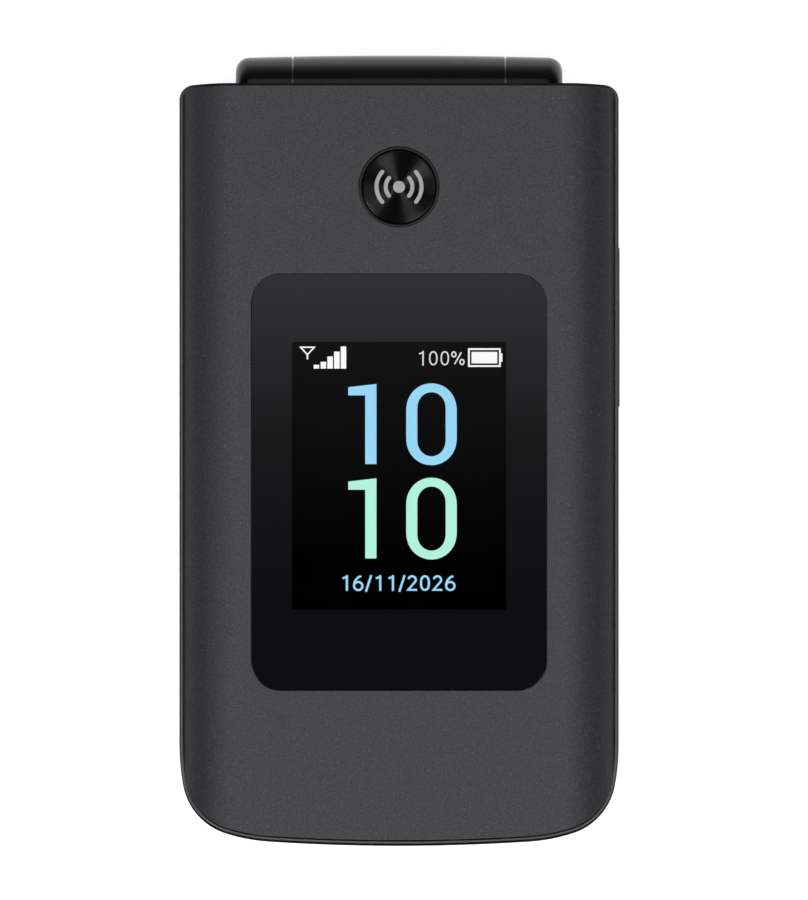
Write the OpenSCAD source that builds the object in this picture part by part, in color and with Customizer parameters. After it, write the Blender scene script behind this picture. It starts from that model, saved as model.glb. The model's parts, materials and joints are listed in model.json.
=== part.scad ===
// Folding mobile phone with a small outside display, closed and lying on its back.
// Millimetres, +Z up. X runs across the phone, +Y towards the hinge, and the origin is the
// middle of the back on the table. The lid turns about the X axis of the hinge barrel.

/* [Body] */
// Width of the lid and the base
body_w = 57.6; // [56:0.1:62]
// Length from the free end to the back of the hinge barrel
body_l = 103.7; // [102:0.1:112]
// Air between the closed lid and the base
part_gap = 0.3; // [0.2:0.05:0.5]
// Side wall of the base and of the lid frame
wall = 1.4; // [1.1:0.1:1.6]
// Solid back of the base beside the battery cover
floor_t = 2; // [1.6:0.1:2.3]
// Rounding of the back edges
edge_r = 2.5; // [1.5:0.1:3]
// Fine rounding of the other outer edges
soft_r = 0.2; // [0.15:0.05:0.25]

/* [Plan outline] */
// Radius of the main corner at the free end
corner_r = 8.15; // [6:0.05:10]
// Radius that eases the side into the corner
side_blend_r = 27.6; // [20:0.1:35]
// Angle over which the side eases into the corner
side_blend_a = 11; // [6:0.5:16]
// Radius that eases the corner into the bowed end
end_blend_r = 23.6; // [18:0.1:30]
// Angle at which that easing starts
end_blend_a = 72; // [64:0.5:76]
// Radius of the bowed free end
bow_r = 262; // [200:1:400]
// Corner radius at the hinge end
top_corner_r = 2; // [1:0.1:3]
// Radius that eases the hinge end into its corner
top_blend_r = 50; // [30:1:80]
// Angle of that easing
top_blend_a = 6; // [3:0.5:8]

/* [Hinge] */
// Radius of the hinge barrel at its middle
barrel_r = 4.2; // [4:0.05:4.6]
// Length of the whole barrel
barrel_l = 42.9; // [40:0.1:46]
// Length of the middle section, which belongs to the lid
centre_l = 27.7; // [26:0.1:30]
// Seam between the middle section and each ear
seam = 0.2; // [0.15:0.05:0.3]
// Radius of the slight bow along the barrel
barrel_bow_r = 756; // [500:1:1500]
// Rounding of the outer ends of the barrel
ear_round = 1.8; // [1:0.1:2]
// Clearance round the turning barrel
swing_gap = 0.2; // [0.15:0.05:0.3]
// How far the lid reaches past the hinge axis
lid_overhang = 0.65; // [0.4:0.05:0.9]
// How far the base stops short of the hinge axis
base_setback = 1.4; // [1.2:0.1:2]
// Outer radius of the spring cartridge and of the bush
cartridge_r = 2.9; // [2.8:0.05:3]
// Wall of the spring cartridge
cartridge_t = 0.3; // [0.25:0.05:0.35]
// Length of the spring cartridge
cartridge_l = 14.8; // [14:0.1:16]
// Radius of the hinge shaft
shaft_r = 1.1; // [1:0.05:1.2]
// Wire diameter of the hinge spring
wire_d = 0.6; // [0.5:0.05:0.65]
// Turns of the hinge spring
spring_turns = 6; // [5:1:7]

/* [Lid cover] */
// Radius of the long rounded sides of the lid cover
crown_r = 8; // [7:0.1:8.5]
// Distance from the side of the phone to where that rounding starts
crown_w = 7.4; // [6.8:0.1:7.8]
// Thickness of the cover's face
cover_wall = 1.5; // [1.4:0.1:1.8]
// Distance from the outline to the edge of the cover
cover_inset = 0.55; // [0.5:0.05:0.8]
// Width of the frame's rim that shows round the cover
rim_w = 0.42; // [0.35:0.01:0.5]
// Height of that rim above the cover's seat
rim_lip = 0.3; // [0.25:0.05:0.6]
// How far the cover sits towards the hinge, off the middle of its rim
cover_shift = 0.15; // [0:0.05:0.25]

/* [Outside display] */
// Width of the outside lens
lens_w = 38.7; // [36:0.1:41]
// Length of the outside lens
lens_l = 54.6; // [50:0.1:58]
// Corner radius of the outside lens
lens_r = 3.8; // [2:0.1:6]
// Thickness of the outside lens
lens_t = 0.9; // [0.7:0.05:1]
// Middle of the outside lens along the phone
lens_y = -4.15; // [-6:0.05:-2]
// Lit width of the outside display
front_active_w = 28.03; // [26:0.01:29]
// Lit length of the outside display
front_active_l = 35.04; // [33:0.01:37]
// Middle of the outside display along the phone
front_y = -3.3; // [-4.5:0.1:-2]
// Thickness of the outside display module
front_module_t = 2.05; // [1.6:0.05:2.4]
// Thickness of the foam gasket over the display
gasket_t = 0.6; // [0.4:0.05:0.8]

/* [Front button] */
// Diameter of the button's bezel ring
bezel_d = 10.6; // [9.6:0.1:11.6]
// Visible width of the bezel ring
bezel_ring = 0.35; // [0.25:0.05:0.5]
// Distance of the button's middle from the room's end at the hinge
button_back = 7.45; // [7.1:0.05:8.5]
// Travel of the button
button_travel = 0.4; // [0.2:0.05:0.5]
// Dish in the face of the button
button_dish = 0.15; // [0.05:0.05:0.2]

/* [Inside display] */
// Border of the inner cover at each side of the inside lens
inner_side = 1.9; // [1.3:0.1:2.2]
// Distance of the inside lens from the room's end at the hinge
inner_back = 5.05; // [4.8:0.05:6]
// Distance of the inside lens from the free end, past the earpiece
inner_front = 10.85; // [10.4:0.05:12.5]
// Dark border of the inside lens at each side of the main display
main_side = 3.9; // [3.5:0.1:5.5]
// Dark border of the inside lens at each end of the main display
main_end = 10.2; // [9.5:0.1:12]
// Thickness of the main display module
main_module_t = 1.45; // [1.2:0.05:1.8]
// Thickness of the inside lens
inner_lens_t = 0.6; // [0.5:0.05:0.7]
// Thickness of the inner cover
inner_cover_t = 1.1; // [1:0.05:1.3]

/* [Keypad] */
// Distance of the number keys' cells from each side of the phone
key_side = 3.9; // [3.6:0.1:4.8]
// Space between two number keys
key_space = 1.4; // [1.3:0.1:2]
// Distance of the number keys from the free end
rows_front = 5.95; // [5.85:0.05:7.5]
// Space between the number keys and the clear key
rows_back = 4.2; // [3.9:0.1:5.2]
// Distance of the function keys from each side of the phone
side_key_side = 4.2; // [3.8:0.1:5]
// Space between the function keys and the navigation ring
side_key_space = 1.6; // [1.5:0.1:2.6]
// Length of a function key
side_key_l = 8; // [7:0.1:8.6]
// Corner radius of the keys
key_r = 1.8; // [1:0.1:2.6]
// Travel of a key
key_travel = 0.4; // [0.25:0.05:0.5]
// Height of a key above the keypad field
key_proud = 0.25; // [0.1:0.05:0.4]
// Outer radius of the navigation ring
nav_r = 11; // [10:0.1:11.3]
// Radius of the middle key
ok_r = 4.9; // [4.4:0.1:5.2]
// Distance of the navigation ring's middle from the room's end at the hinge
nav_back = 25.05; // [24.45:0.05:25.45]
// Tilt of the navigation ring each way
nav_tilt = 1; // [0.5:0.1:1]

/* [Side rocker] */
// Length of the volume rocker
rocker_l = 20.9; // [18:0.1:22]
// Height of the volume rocker
rocker_h = 3; // [2.4:0.1:3.2]
// Distance of the rocker's middle from the room's end at the hinge
rocker_back = 25.85; // [25.05:0.05:28]
// How far the rocker stands out of the side
rocker_proud = 0.2; // [0.05:0.05:0.4]
// Tilt of the rocker each way
rocker_tilt = 1.5; // [0.5:0.1:1.6]

/* [Battery] */
// Width of the battery
battery_w = 38; // [34:0.5:38.5]
// Distance of the battery from the free end, past the USB socket
battery_front = 8.85; // [8.75:0.05:12]
// Thickness of the battery
battery_t = 4.8; // [4.6:0.1:5.6]
// Distance from the battery to the seam of its cover
battery_back = 17; // [16.7:0.1:18]
// Thickness of the battery cover
cover_t = 1.2; // [1:0.1:1.5]
// Distance of that seam from the room's end at the hinge
cover_back = 15.05; // [14.3:0.05:15.4]

/* [Ports] */
// Radius of the headphone socket's bore
jack_r = 1.8; // [1.75:0.05:1.85]
// Distance of the headphone socket's middle from the room's end at the hinge
jack_back = 7.55; // [7.5:0.05:8.4]
// Width of the USB socket
usb_w = 8.94; // [8.9:0.01:9]
// Height of the USB socket
usb_h = 3.16; // [3.1:0.01:3.2]

/* [Boards and fits] */
// Thickness of each circuit board
board_t = 0.8; // [0.6:0.1:1]
// Thickness of the plate over the battery
tray_t = 0.8; // [0.6:0.1:1]
// Thickness of the keypad's face plate
plate_t = 0.8; // [0.6:0.1:1]
// Depth of the keypad field below the rim of the base
field_drop = 0.4; // [0.35:0.05:0.6]
// Thickness of the lid frame's web
web_t = 0.6; // [0.5:0.05:0.8]
// Clearance between pieces that are stacked or seated
fit = 0.05; // [0.03:0.01:0.08]
// Clearance round a key in its well
key_gap = 0.15; // [0.1:0.01:0.2]
// Radial running clearance of the hinge parts
run_gap = 0.05; // [0.03:0.01:0.08]

/* [Hidden] */

// Overshoot of a cut past the face that it opens
over = 1;
half_w = body_w / 2;
free_y = -body_l / 2;

// Heights in the base, from the table up
battery_z = cover_t + 2 * fit;
tray_z = battery_z + battery_t + 2 * fit;
board_z = tray_z + tray_t + fit;
mat_z = board_z + board_t + fit;
mat_t = 0.25;
dome_t = 0.27;
mat_top = mat_z + mat_t + dome_t;
flange_t = 0.3;
flange_z = mat_top + key_travel + fit;
plate_z = flange_z + flange_t + 0.13;
field_z = plate_z + plate_t;
base_h = field_z + field_drop;
split_z = plate_z - 1.1;
key_top = field_z + key_proud;

// Heights in the lid, from its inner face up
lid_z = base_h + part_gap;
main_z = lid_z + inner_cover_t + fit;
web_z = main_z + main_module_t + 2 * fit;
lid_board_z = web_z + web_t + fit;
front_z = lid_board_z + board_t + fit;
gasket_z = front_z + front_module_t;
cover_under_z = gasket_z + gasket_t + fit;
body_h = cover_under_z + cover_wall;

// Hinge axis, and what clears it
hinge_y = body_l / 2 - barrel_r;
hinge_z = base_h + part_gap / 2;
swing_r = barrel_r + swing_gap;
centre_half = centre_l / 2;
ear_in = centre_half + seam;
ear_out = barrel_l / 2;
lid_top_y = hinge_y + lid_overhang;
base_end_y = hinge_y - base_setback;
room_end_y = hinge_y - swing_r - 1.2;
seat_z = hinge_z + swing_r + 0.1;
rim_z = seat_z + rim_lip;

// Sizes of the hinge parts, along the barrel from its middle
cartridge_in = cartridge_r - cartridge_t;
cartridge_x = -centre_half + 0.1;
drum_r = cartridge_in - 2 * run_gap;
cam_l = 2.5;
lobe_h = 0.75;
follower_l = 2.5;
cam_x = cartridge_x + 0.2;
follower_x = cam_x + cam_l + lobe_h + 0.15;
spring_x = follower_x + follower_l + 0.1;
cartridge_end_t = 0.8;
spring_end_x = cartridge_x + cartridge_l - cartridge_end_t - 0.1;
shaft_end_x = cartridge_x + cartridge_l + 0.4;
bush_x = 9;
flex_bore_r = 2.3;

// Places of the fasteners
base_screw_at = [for (side = [-1, 1], p = [[12, free_y + 3.45], [half_w - 3.2, room_end_y - 2.45]])
    [side * p.x, p.y]];
lid_screw_at = [for (side = [-1, 1], p = [[half_w - 7.3, free_y + 6.85], [half_w - 5.8, room_end_y - 2.5]])
    [side * p.x, p.y]];
screw_seat_z = cover_t + 1.1;
screw_r = 0.75;
head_r = 1.4;
boss_r = 2;
base_boss_r = 1.6;

// Places and sizes of the keys
nav_y = room_end_y - nav_back;
soft_key_y = nav_y + 7;
call_key_y = nav_y - 8;
clear_key_y = nav_y - nav_r - 7.2;
clear_l = 7;
rows_top_y = clear_key_y - clear_l / 2 - rows_back;
key_pitch_x = (body_w - 2 * key_side) / 3;
key_pitch_y = (rows_top_y - free_y - rows_front + key_space) / 4;
key_w = key_pitch_x - key_space;
key_l = key_pitch_y - key_space;
first_row_y = rows_top_y - key_l / 2;
side_key_w = half_w - side_key_side - side_key_space - nav_r;
side_key_x = half_w - side_key_side - side_key_w / 2;
key_flange = 0.6;
key_crown_r = 100;
function number_at(column, row) = [(column - 1) * key_pitch_x, first_row_y - row * key_pitch_y];
number_keys = [for (row = [0 : 3], column = [0 : 2]) number_at(column, row)];
side_keys = [
    [-side_key_x, soft_key_y], [side_key_x, soft_key_y],
    [-side_key_x, call_key_y], [side_key_x, call_key_y]
];

// Navigation ring, its gimbal and the middle key
ring_z = mat_top + sqrt(2) * (nav_r + key_flange) * sin(nav_tilt) + 0.03;
ring_gap = 0.3;
ok_bore_r = ok_r + ring_gap;
ok_flange_r = ok_r + 0.9;
gimbal_in_r = 6.2;
gimbal_out_r = 7.6;

// Places in the base
neck_y = room_end_y + 1;
shaft_head_r = 1.9;
cover_line_y = room_end_y - cover_back;
battery_end_y = cover_line_y - battery_back;
battery_l = battery_end_y - free_y - battery_front;
battery_y = battery_end_y - battery_l / 2;
bay_gap = 0.3;
rib_t = 0.8;
bay_w = battery_w + 2 * bay_gap;
bay_l = battery_l + 2 * bay_gap;
contacts_x = 8;
contacts_w = 9.4;
contact_pitch = 2.6;
tongue_w = 6;
tongue_x = 14;
tongue_l = 1.5;
rocker_y = room_end_y - rocker_back;
rocker_flange = 0.6;
rocker_gap = rocker_l / 2 * sin(rocker_tilt) + 0.18;
rocker_z = board_z - rocker_h / 2 - rocker_flange - 0.15;
jack_y = room_end_y - jack_back;
jack_l = 12;
jack_w = 6.2;
jack_x = -half_w + wall + 0.1;
jack_z = (floor_t + board_z) / 2;
speaker_size = [15, 10.5];
speaker_at = [half_w - 16.3, jack_y];
camera_w = 8.5;
camera_at = [-3.5, jack_y];
window_r = 4.4;
motor_r = 2;
motor_l = 7;
motor_at = [(jack_x + jack_l + camera_at.x - camera_w / 2) / 2, jack_y - 5];
antenna_w = 1.4;
antenna_l = battery_l - 21;

// Places in the lid
button_y = room_end_y - button_back;
inner_lens_w = body_w - 2 * (wall + inner_side);
inner_lens_l = room_end_y - inner_back - free_y - inner_front;
inner_lens_y = room_end_y - inner_back - inner_lens_l / 2;
main_active_w = inner_lens_w - 2 * main_side;
main_active_l = inner_lens_l - 2 * main_end;
main_y = inner_lens_y + 0.5;
earpiece_y = free_y + 5.6;
cover_edge_t = 1.4;
bumper_r = 1.2;
bumper_at = [for (side = [-1, 1]) [side * 15, free_y + 4.25]];
magnet_at = [half_w - 14.8, earpiece_y];
lid_board_w = body_w - 13.6;
lid_board_y = free_y + 27.85;

// Front button and its bezel ring
bezel_r = bezel_d / 2;
bezel_bore_r = bezel_r - bezel_ring;
cap_r = bezel_bore_r - 0.12;
bezel_flange_z = cover_under_z - 0.5;
button_flange_t = 0.35;
button_flange_z = bezel_flange_z - fit - button_flange_t;
switch_top_z = button_flange_z - button_travel - fit;

// Colours of the plain model
paint = [0.27, 0.275, 0.285];
satin = [0.36, 0.36, 0.37];
black = [0.06, 0.06, 0.065];
glass = [0.03, 0.03, 0.035];
steel = [0.72, 0.72, 0.74];
board_green = [0.05, 0.25, 0.15];
gold = [0.8, 0.62, 0.25];
rubber = [0.12, 0.12, 0.12];

// ---- outlines -------------------------------------------------------------------------

// Points of an arc about c, without its first point when open is true
function arc(c, r, from, to, n, open = false) =
    [for (i = [open ? 1 : 0 : n]) let (a = from + (to - from) * i / n) c + r * [cos(a), sin(a)]];

// Points of a rectangle with round corners
function round_rect(w, l, r, n = 6) = concat(
    arc([w / 2 - r, l / 2 - r], r, 0, 90, n), arc([r - w / 2, l / 2 - r], r, 90, 180, n),
    arc([r - w / 2, r - l / 2], r, 180, 270, n), arc([w / 2 - r, r - l / 2], r, 270, 360, n));

function along(a) = [cos(a), -sin(a)];

// Centres of the tangent arcs at the free end, with the first at the height of the side's end
side_c = [half_w - side_blend_r, 0];
corner_c = side_c + (side_blend_r - corner_r) * along(side_blend_a);
blend_c = corner_c + (corner_r - end_blend_r) * along(end_blend_a);
bow_a = acos(blend_c.x / (bow_r - end_blend_r));
bow_c = blend_c + (end_blend_r - bow_r) * along(bow_a);
free_shift = [0, free_y - (bow_c.y - bow_r)];

// Outline of the phone set in by a distance, and straight across at end_y towards the hinge
function plan(inset, end_y) =
    let (
        top_c = [half_w - top_corner_r,
                 end_y - top_blend_r + (top_blend_r - top_corner_r) * cos(top_blend_a)],
        top_bow_c = top_c + (top_corner_r - top_blend_r) * [sin(top_blend_a), cos(top_blend_a)],
        half = concat(
            arc(bow_c + free_shift, bow_r - inset, -90, -bow_a, 4),
            arc(blend_c + free_shift, end_blend_r - inset, -bow_a, -end_blend_a, 4, true),
            arc(corner_c + free_shift, corner_r - inset, -end_blend_a, -side_blend_a, 10, true),
            arc(side_c + free_shift, side_blend_r - inset, -side_blend_a, 0, 3, true),
            arc(top_c, max(top_corner_r - inset, 0.05), 0, 90 - top_blend_a, 5),
            arc(top_bow_c, top_blend_r - inset, 90 - top_blend_a, 90, 3, true)),
        last = len(half) - 1)
    concat(half, [for (i = [last : -1 : 1]) [-half[i].x, half[i].y]]);

// The same outline set in from a wall, but ending straight at end_y
function room(inset, end_y) = plan(inset, end_y + inset);

// ---- shared forms ---------------------------------------------------------------------

module slab(points, z0, z1) {
    translate([0, 0, z0]) linear_extrude(z1 - z0) polygon(points);
}

module ring_slab(outer, inner, z0, z1) {
    translate([0, 0, z0]) linear_extrude(z1 - z0) difference() {
        polygon(outer);
        polygon(inner);
    }
}

// Block with round corners, centred at [x, y]
module pad(size, r, at, z0, z1) {
    translate([at.x, at.y, 0]) slab(round_rect(size.x, size.y, r), z0, z1);
}

// Block between two heights, centred at [x, y]
module block(size, at, z0, z1) {
    translate([at.x - size.x / 2, at.y - size.y / 2, z0]) cube([size.x, size.y, z1 - z0]);
}

module post(r, at, z0, z1) {
    translate([at.x, at.y, z0]) cylinder(r = r, h = z1 - z0, $fn = 48);
}

// Turns children whose own axis is Z to lie along the hinge axis, +Z to +X
module on_hinge() {
    translate([0, hinge_y, hinge_z]) rotate([0, 90, 0]) children();
}

module hinge_rod(r, x0, x1) {
    on_hinge() translate([0, 0, x0]) cylinder(r = r, h = x1 - x0, $fn = 96);
}

function barrel_r_at(x) = barrel_r - x * x / (2 * barrel_bow_r);

// Stretch of the bowed barrel, with its far end rounded by end_round
module barrel_stretch(x0, x1, end_round) {
    steps = 5;
    straight_x = x1 - end_round;
    on_hinge() rotate_extrude($fn = 96) polygon(concat(
        [[0, x0]],
        [for (i = [0 : steps]) let (x = x0 + (straight_x - x0) * i / steps) [barrel_r_at(x), x]],
        end_round > 0
            ? arc([barrel_r_at(straight_x) - end_round, straight_x], end_round, 0, 90, 5, true)
            : [],
        [[0, x1]]));
}

// Prism along Y under the rounded face of the lid cover
module crown(top_z, r) {
    flat = half_w - crown_w;
    base = lid_z;
    translate([0, body_l, 0]) rotate([90, 0, 0]) linear_extrude(2 * body_l) polygon(concat(
        [[-flat - r, base], [flat + r, base]],
        arc([flat, top_z - r], r, 0, 90, 14),
        arc([-flat, top_z - r], r, 90, 180, 14)));
}

// Rounded edge on the phone's outline, from height z upwards (way 1) or downwards (way -1)
module round_edge(end_y, z, r, way, steps) {
    sliver = 0.01;
    for (i = [0 : steps - 1]) hull() for (a = [i, i + 1] * 90 / steps)
        let (low = z + way * r * sin(a) - (way > 0 ? sliver : 0))
        slab(plan(r * (1 - cos(a)), end_y), low, low + sliver);
}

// Slab on the phone's outline with its lower and upper edges softened
module soft_slab(end_y, z0, z1) {
    round_edge(end_y, z0 + soft_r, soft_r, -1, 3);
    slab(plan(0, end_y), z0 + soft_r, z1 - soft_r);
    round_edge(end_y, z1 - soft_r, soft_r, 1, 3);
}

// The base as one solid with its back edges rounded, up to top_z
module base_form(top_z) {
    round_edge(base_end_y, edge_r, edge_r, -1, 6);
    slab(plan(0, base_end_y), edge_r, top_z);
}

// Region of the back that the battery cover takes, grown by a gap towards the housing
module cover_zone(gap) {
    translate([-half_w - over, free_y - over, -over])
        cube([body_w + 2 * over, cover_line_y - free_y + over + gap, cover_t + over + gap]);
}

// ---- base -----------------------------------------------------------------------------

module ears() {
    for (side = [0, 1]) mirror([side, 0, 0]) {
        barrel_stretch(ear_in, ear_out, ear_round);
        // Neck from the base up into the ear
        translate([ear_in, neck_y, floor_t])
            cube([ear_out - ear_in, base_end_y - neck_y, base_h - floor_t]);
    }
}

module rear_housing() color(paint) {
    difference() {
        union() {
            difference() {
                base_form(split_z);
                slab(room(wall, room_end_y), floor_t, split_z + over);
                intersection() {
                    slab(room(wall, room_end_y), -over, floor_t + over);
                    translate([-half_w, free_y, -over])
                        cube([body_w, cover_line_y - 1 - free_y, floor_t + 2 * over]);
                }
            }
            // Plate over the battery, and the ribs that hold the battery
            intersection() {
                slab(plan(wall / 2, base_end_y), tray_z, tray_z + tray_t);
                block([body_w, bay_l + 2 * rib_t], [0, battery_y], tray_z, tray_z + tray_t);
            }
            difference() {
                block([bay_w + 2 * rib_t, bay_l + 2 * rib_t], [0, battery_y], battery_z, tray_z + fit);
                block([bay_w, bay_l], [0, battery_y], 0, tray_z + over);
            }
            for (at = base_screw_at) post(boss_r, at, screw_seat_z - head_r / 2, split_z);
            ears();
        }
        cover_zone(fit);
        // Pockets for the tongues of the battery cover
        for (side = [-1, 1])
            block([tongue_w + 0.4, 2 * tongue_l + 0.6], [side * tongue_x, cover_line_y], 0.3, cover_t);
        // The lid's part of the barrel turns here
        hinge_rod(swing_r, -ear_in, ear_in);
        // Left ear holds the shaft's six-sided end, right ear holds the bush
        on_hinge() translate([0, 0, -ear_out + 0.9])
            cylinder(r = shaft_head_r + fit, h = ear_out - ear_in, $fn = 6);
        hinge_rod(cartridge_r + fit, ear_in - over, ear_out - 0.9);
        // Openings in the walls for the rocker and the sockets
        translate([half_w - 2 * wall, rocker_y, rocker_z]) rotate([90, 0, 90])
            linear_extrude(3 * wall) polygon(round_rect(rocker_l + 0.4, rocker_h + 0.4, 1.5));
        translate([0, free_y + 3 * wall, board_z - usb_h / 2]) rotate([90, 0, 0])
            linear_extrude(4 * wall) polygon(round_rect(usb_w + 0.3, usb_h + 0.3, 1.6));
        translate([-half_w - over, jack_y, jack_z]) rotate([0, 90, 0])
            cylinder(r = jack_r + 1.1, h = 2 * wall + over, $fn = 64);
        // Notch for the battery contacts
        block([contacts_w + 0.4, rib_t + 2 * fit], [contacts_x, battery_end_y + bay_gap + rib_t / 2], 0,
              tray_z);
        // Room beside the rocker for its switches
        block([3, rocker_l + 4], [half_w - wall - 1.5, rocker_y], rocker_z - 2, board_z + fit);
        // Sound slots under the loudspeaker
        for (i = [-2 : 2])
            pad([1, 7], 0.45, speaker_at + [2.3 * i, 0], -over, floor_t + over);
        // Stepped hole for the camera's window
        post(window_r - 0.8, camera_at, -over, floor_t + over);
        post(window_r + fit, camera_at, -over, 0.9);
        for (at = base_screw_at) {
            post(head_r + 0.15, at, -over, screw_seat_z);
            post(screw_r + 0.1, at, 0, split_z + over);
        }
    }
}

module keypad_fascia() color(paint) {
    difference() {
        union() {
            difference() {
                soft_slab(base_end_y, split_z, base_h);
                slab(room(wall, room_end_y), split_z - over, plate_z);
                slab(room(wall + 0.5, room_end_y), field_z, base_h + over);
            }
            for (at = base_screw_at) post(base_boss_r, at, split_z, plate_z + fit);
        }
        for (at = number_keys) key_well(at, [key_w, key_l]);
        for (at = side_keys) key_well(at, [side_key_w, side_key_l]);
        key_well([0, clear_key_y], [key_w, clear_l]);
        post(nav_r + 0.2, [0, nav_y], 0, base_h + over);
        hinge_rod(swing_r, -ear_in, ear_in);
        for (side = [-1, 1])
            block([ear_out - ear_in + 2 * seam, 2 * barrel_r],
                  [side * (ear_in + ear_out) / 2, neck_y - fit + barrel_r], 0, base_h + over);
        for (at = base_screw_at) post(screw_r + 0.05, at, 0, plate_z - 0.2);
    }
}

module key_well(at, size) {
    pad(size + 2 * [key_gap, key_gap], key_r + key_gap, at, 0, base_h + over);
}

module main_board() {
    color(board_green) difference() {
        slab(room(wall + 0.4, room_end_y - 0.3), board_z, board_z + board_t);
        for (at = base_screw_at) post(boss_r + 0.3, at, 0, base_h);
    }
    color(steel) {
        // Shield over the radio, microphone, and the two switches behind the rocker
        pad([34, 8.5], 0.8, [0, room_end_y - 6], board_z + board_t - fit, plate_z - 0.3);
        block([3.8, 3], [half_w - 8.8, free_y + 5.8], board_z - 1, board_z + fit);
        for (side = [-1, 1])
            block([0.9, 4.5], [half_w - wall - 1.65, rocker_y + side * 6.5], rocker_z - 1.2, board_z + fit);
    }
}

module keypad_mat() color(rubber) {
    difference() {
        union() {
            slab(room(wall + 2.4, min(nav_y + nav_r + 2.2, room_end_y - 10.5)), mat_z, mat_z + mat_t);
            for (at = concat(number_keys, side_keys, [[0, clear_key_y], [0, nav_y]]))
                post(2.6, at, mat_z + mat_t - fit, mat_top);
        }
        for (at = base_screw_at) post(boss_r + 0.4, at, 0, base_h);
    }
}

module battery() {
    color([0.16, 0.17, 0.2])
        pad([battery_w, battery_l - 1.4], 0.8, [0, battery_y - 0.7], battery_z, battery_z + battery_t);
    // Moulded cap with the contact strips
    color(black) difference() {
        pad([battery_w - 0.6, 1.4 + fit], 0.3, [0, battery_end_y - 0.7], battery_z + 0.2,
            battery_z + battery_t - 0.2);
        for (i = [-1 : 1])
            block([1.6, 1], [contacts_x + contact_pitch * i, battery_end_y], battery_z + 1.4,
                  battery_z + 3.6);
    }
}

module battery_contacts() {
    at = [contacts_x, battery_end_y + bay_gap + rib_t + 1.6];
    color(black) pad([contacts_w, 2.6], 0.3, at, battery_z + 0.9, board_z - fit);
    // Spring blades that reach through the rib to the battery
    color(gold) for (i = [-1 : 1])
        block([0.9, 2.2], [at.x + contact_pitch * i, at.y - 1.9], battery_z + 2, battery_z + 3);
}

module sim_holder() color(steel) {
    at = [-10, battery_end_y + 9];
    size = [16, 13];
    difference() {
        pad(size, 0.6, at, board_z - 1.9, board_z - fit);
        // Slot for the card, open towards the battery
        translate([0, -1.5, 0]) block([13, size.y], at, board_z - 1.7, board_z - 0.7);
        pad([9, 7], 0.8, at, 0, board_z - 1);
    }
}

module usb_port() {
    y0 = free_y + 0.3;
    z = board_z - fit - usb_h / 2;
    color(steel) translate([0, y0 + 7.3, z]) rotate([90, 0, 0]) difference() {
        linear_extrude(7.3) polygon(round_rect(usb_w, usb_h, usb_h / 2 - 0.05));
        translate([0, 0, 0.6]) linear_extrude(7.3)
            polygon(round_rect(usb_w - 0.6, usb_h - 0.6, usb_h / 2 - 0.35));
    }
    color(black) block([6.7, 5.8], [0, y0 + 3.9], z - 0.35, z + 0.35);
}

module headphone_jack() color(black) {
    difference() {
        union() {
            block([jack_l, jack_w], [jack_x + jack_l / 2, jack_y], floor_t + fit, board_z - fit);
            translate([-half_w + 0.1, jack_y, jack_z]) rotate([0, 90, 0])
                cylinder(r = jack_r + 1, h = wall + 0.25, $fn = 64);
        }
        translate([-half_w - over, jack_y, jack_z]) rotate([0, 90, 0])
            cylinder(r = jack_r, h = jack_l + wall + over - 0.8, $fn = 64);
    }
}

module loudspeaker() {
    top_z = floor_t + fit + 3.2;
    color(black) pad(speaker_size, 2, speaker_at, floor_t + fit, top_z);
    color(steel) pad(speaker_size - [5, 3.5], 1.2, speaker_at, top_z - fit, top_z + 0.5);
}

module vibration_motor() color(steel) {
    z = floor_t + fit + motor_r + 0.2;
    translate([motor_at.x, motor_at.y + motor_l + 3, z]) rotate([90, 0, 0]) {
        cylinder(r = motor_r, h = motor_l, $fn = 48);
        cylinder(r = 0.4, h = motor_l + 2.6, $fn = 24);
        translate([0, 0, motor_l + 0.4]) intersection() {
            cylinder(r = motor_r + 0.1, h = 2, $fn = 48);
            translate([-3, -0.5, 0]) cube([6, 3, 2]);
        }
    }
    // Cradle under the motor
    block([3.4, 5], [motor_at.x, motor_at.y + 6], floor_t + fit, z - 1.2);
}

module camera_module() color(black) {
    pad([camera_w, camera_w], 0.5, camera_at, floor_t + 1.4, board_z - fit);
    post(3.1, camera_at, floor_t + fit, floor_t + 1.4 + fit);
}

module camera_window() color(glass) {
    post(window_r, camera_at, 0.1, 0.85);
}

module antenna() {
    x = -half_w + wall + 0.2 + antenna_w / 2;
    y0 = battery_end_y - 6.5 - antenna_l;
    strips = 6;
    color(black) block([antenna_w, antenna_l], [x, y0 + antenna_l / 2], cover_t + 0.8, tray_z - fit);
    // Folded copper strip on the carrier's inner side
    color(gold) for (i = [0 : strips - 1])
        block([0.1, antenna_l / 9], [x + antenna_w / 2 + 0.05, y0 + (i + 0.5) * antenna_l / strips],
              cover_t + 1.2, tray_z - 0.6);
}

module base_screws() color(steel) {
    for (at = base_screw_at) difference() {
        union() {
            post(head_r, at, screw_seat_z - 0.9, screw_seat_z - fit);
            post(screw_r, at, screw_seat_z - 0.9, plate_z - 0.4);
        }
        translate([at.x, at.y, screw_seat_z - 1.5]) cylinder(r = 0.7, h = 1, $fn = 6);
    }
}

module battery_cover() color(paint) {
    difference() {
        union() {
            intersection() {
                base_form(split_z);
                cover_zone(-0.1);
            }
            for (side = [-1, 1])
                block([tongue_w, 2 * tongue_l], [side * tongue_x, cover_line_y - 0.2], 0.4, cover_t - 0.2);
        }
        // Thumb groove for sliding the cover off
        for (i = [0 : 4])
            pad([12 - 1.6 * i, 0.5], 0.2, [0, free_y + 12 + 1.4 * i], -over, 0.3);
    }
}

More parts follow.
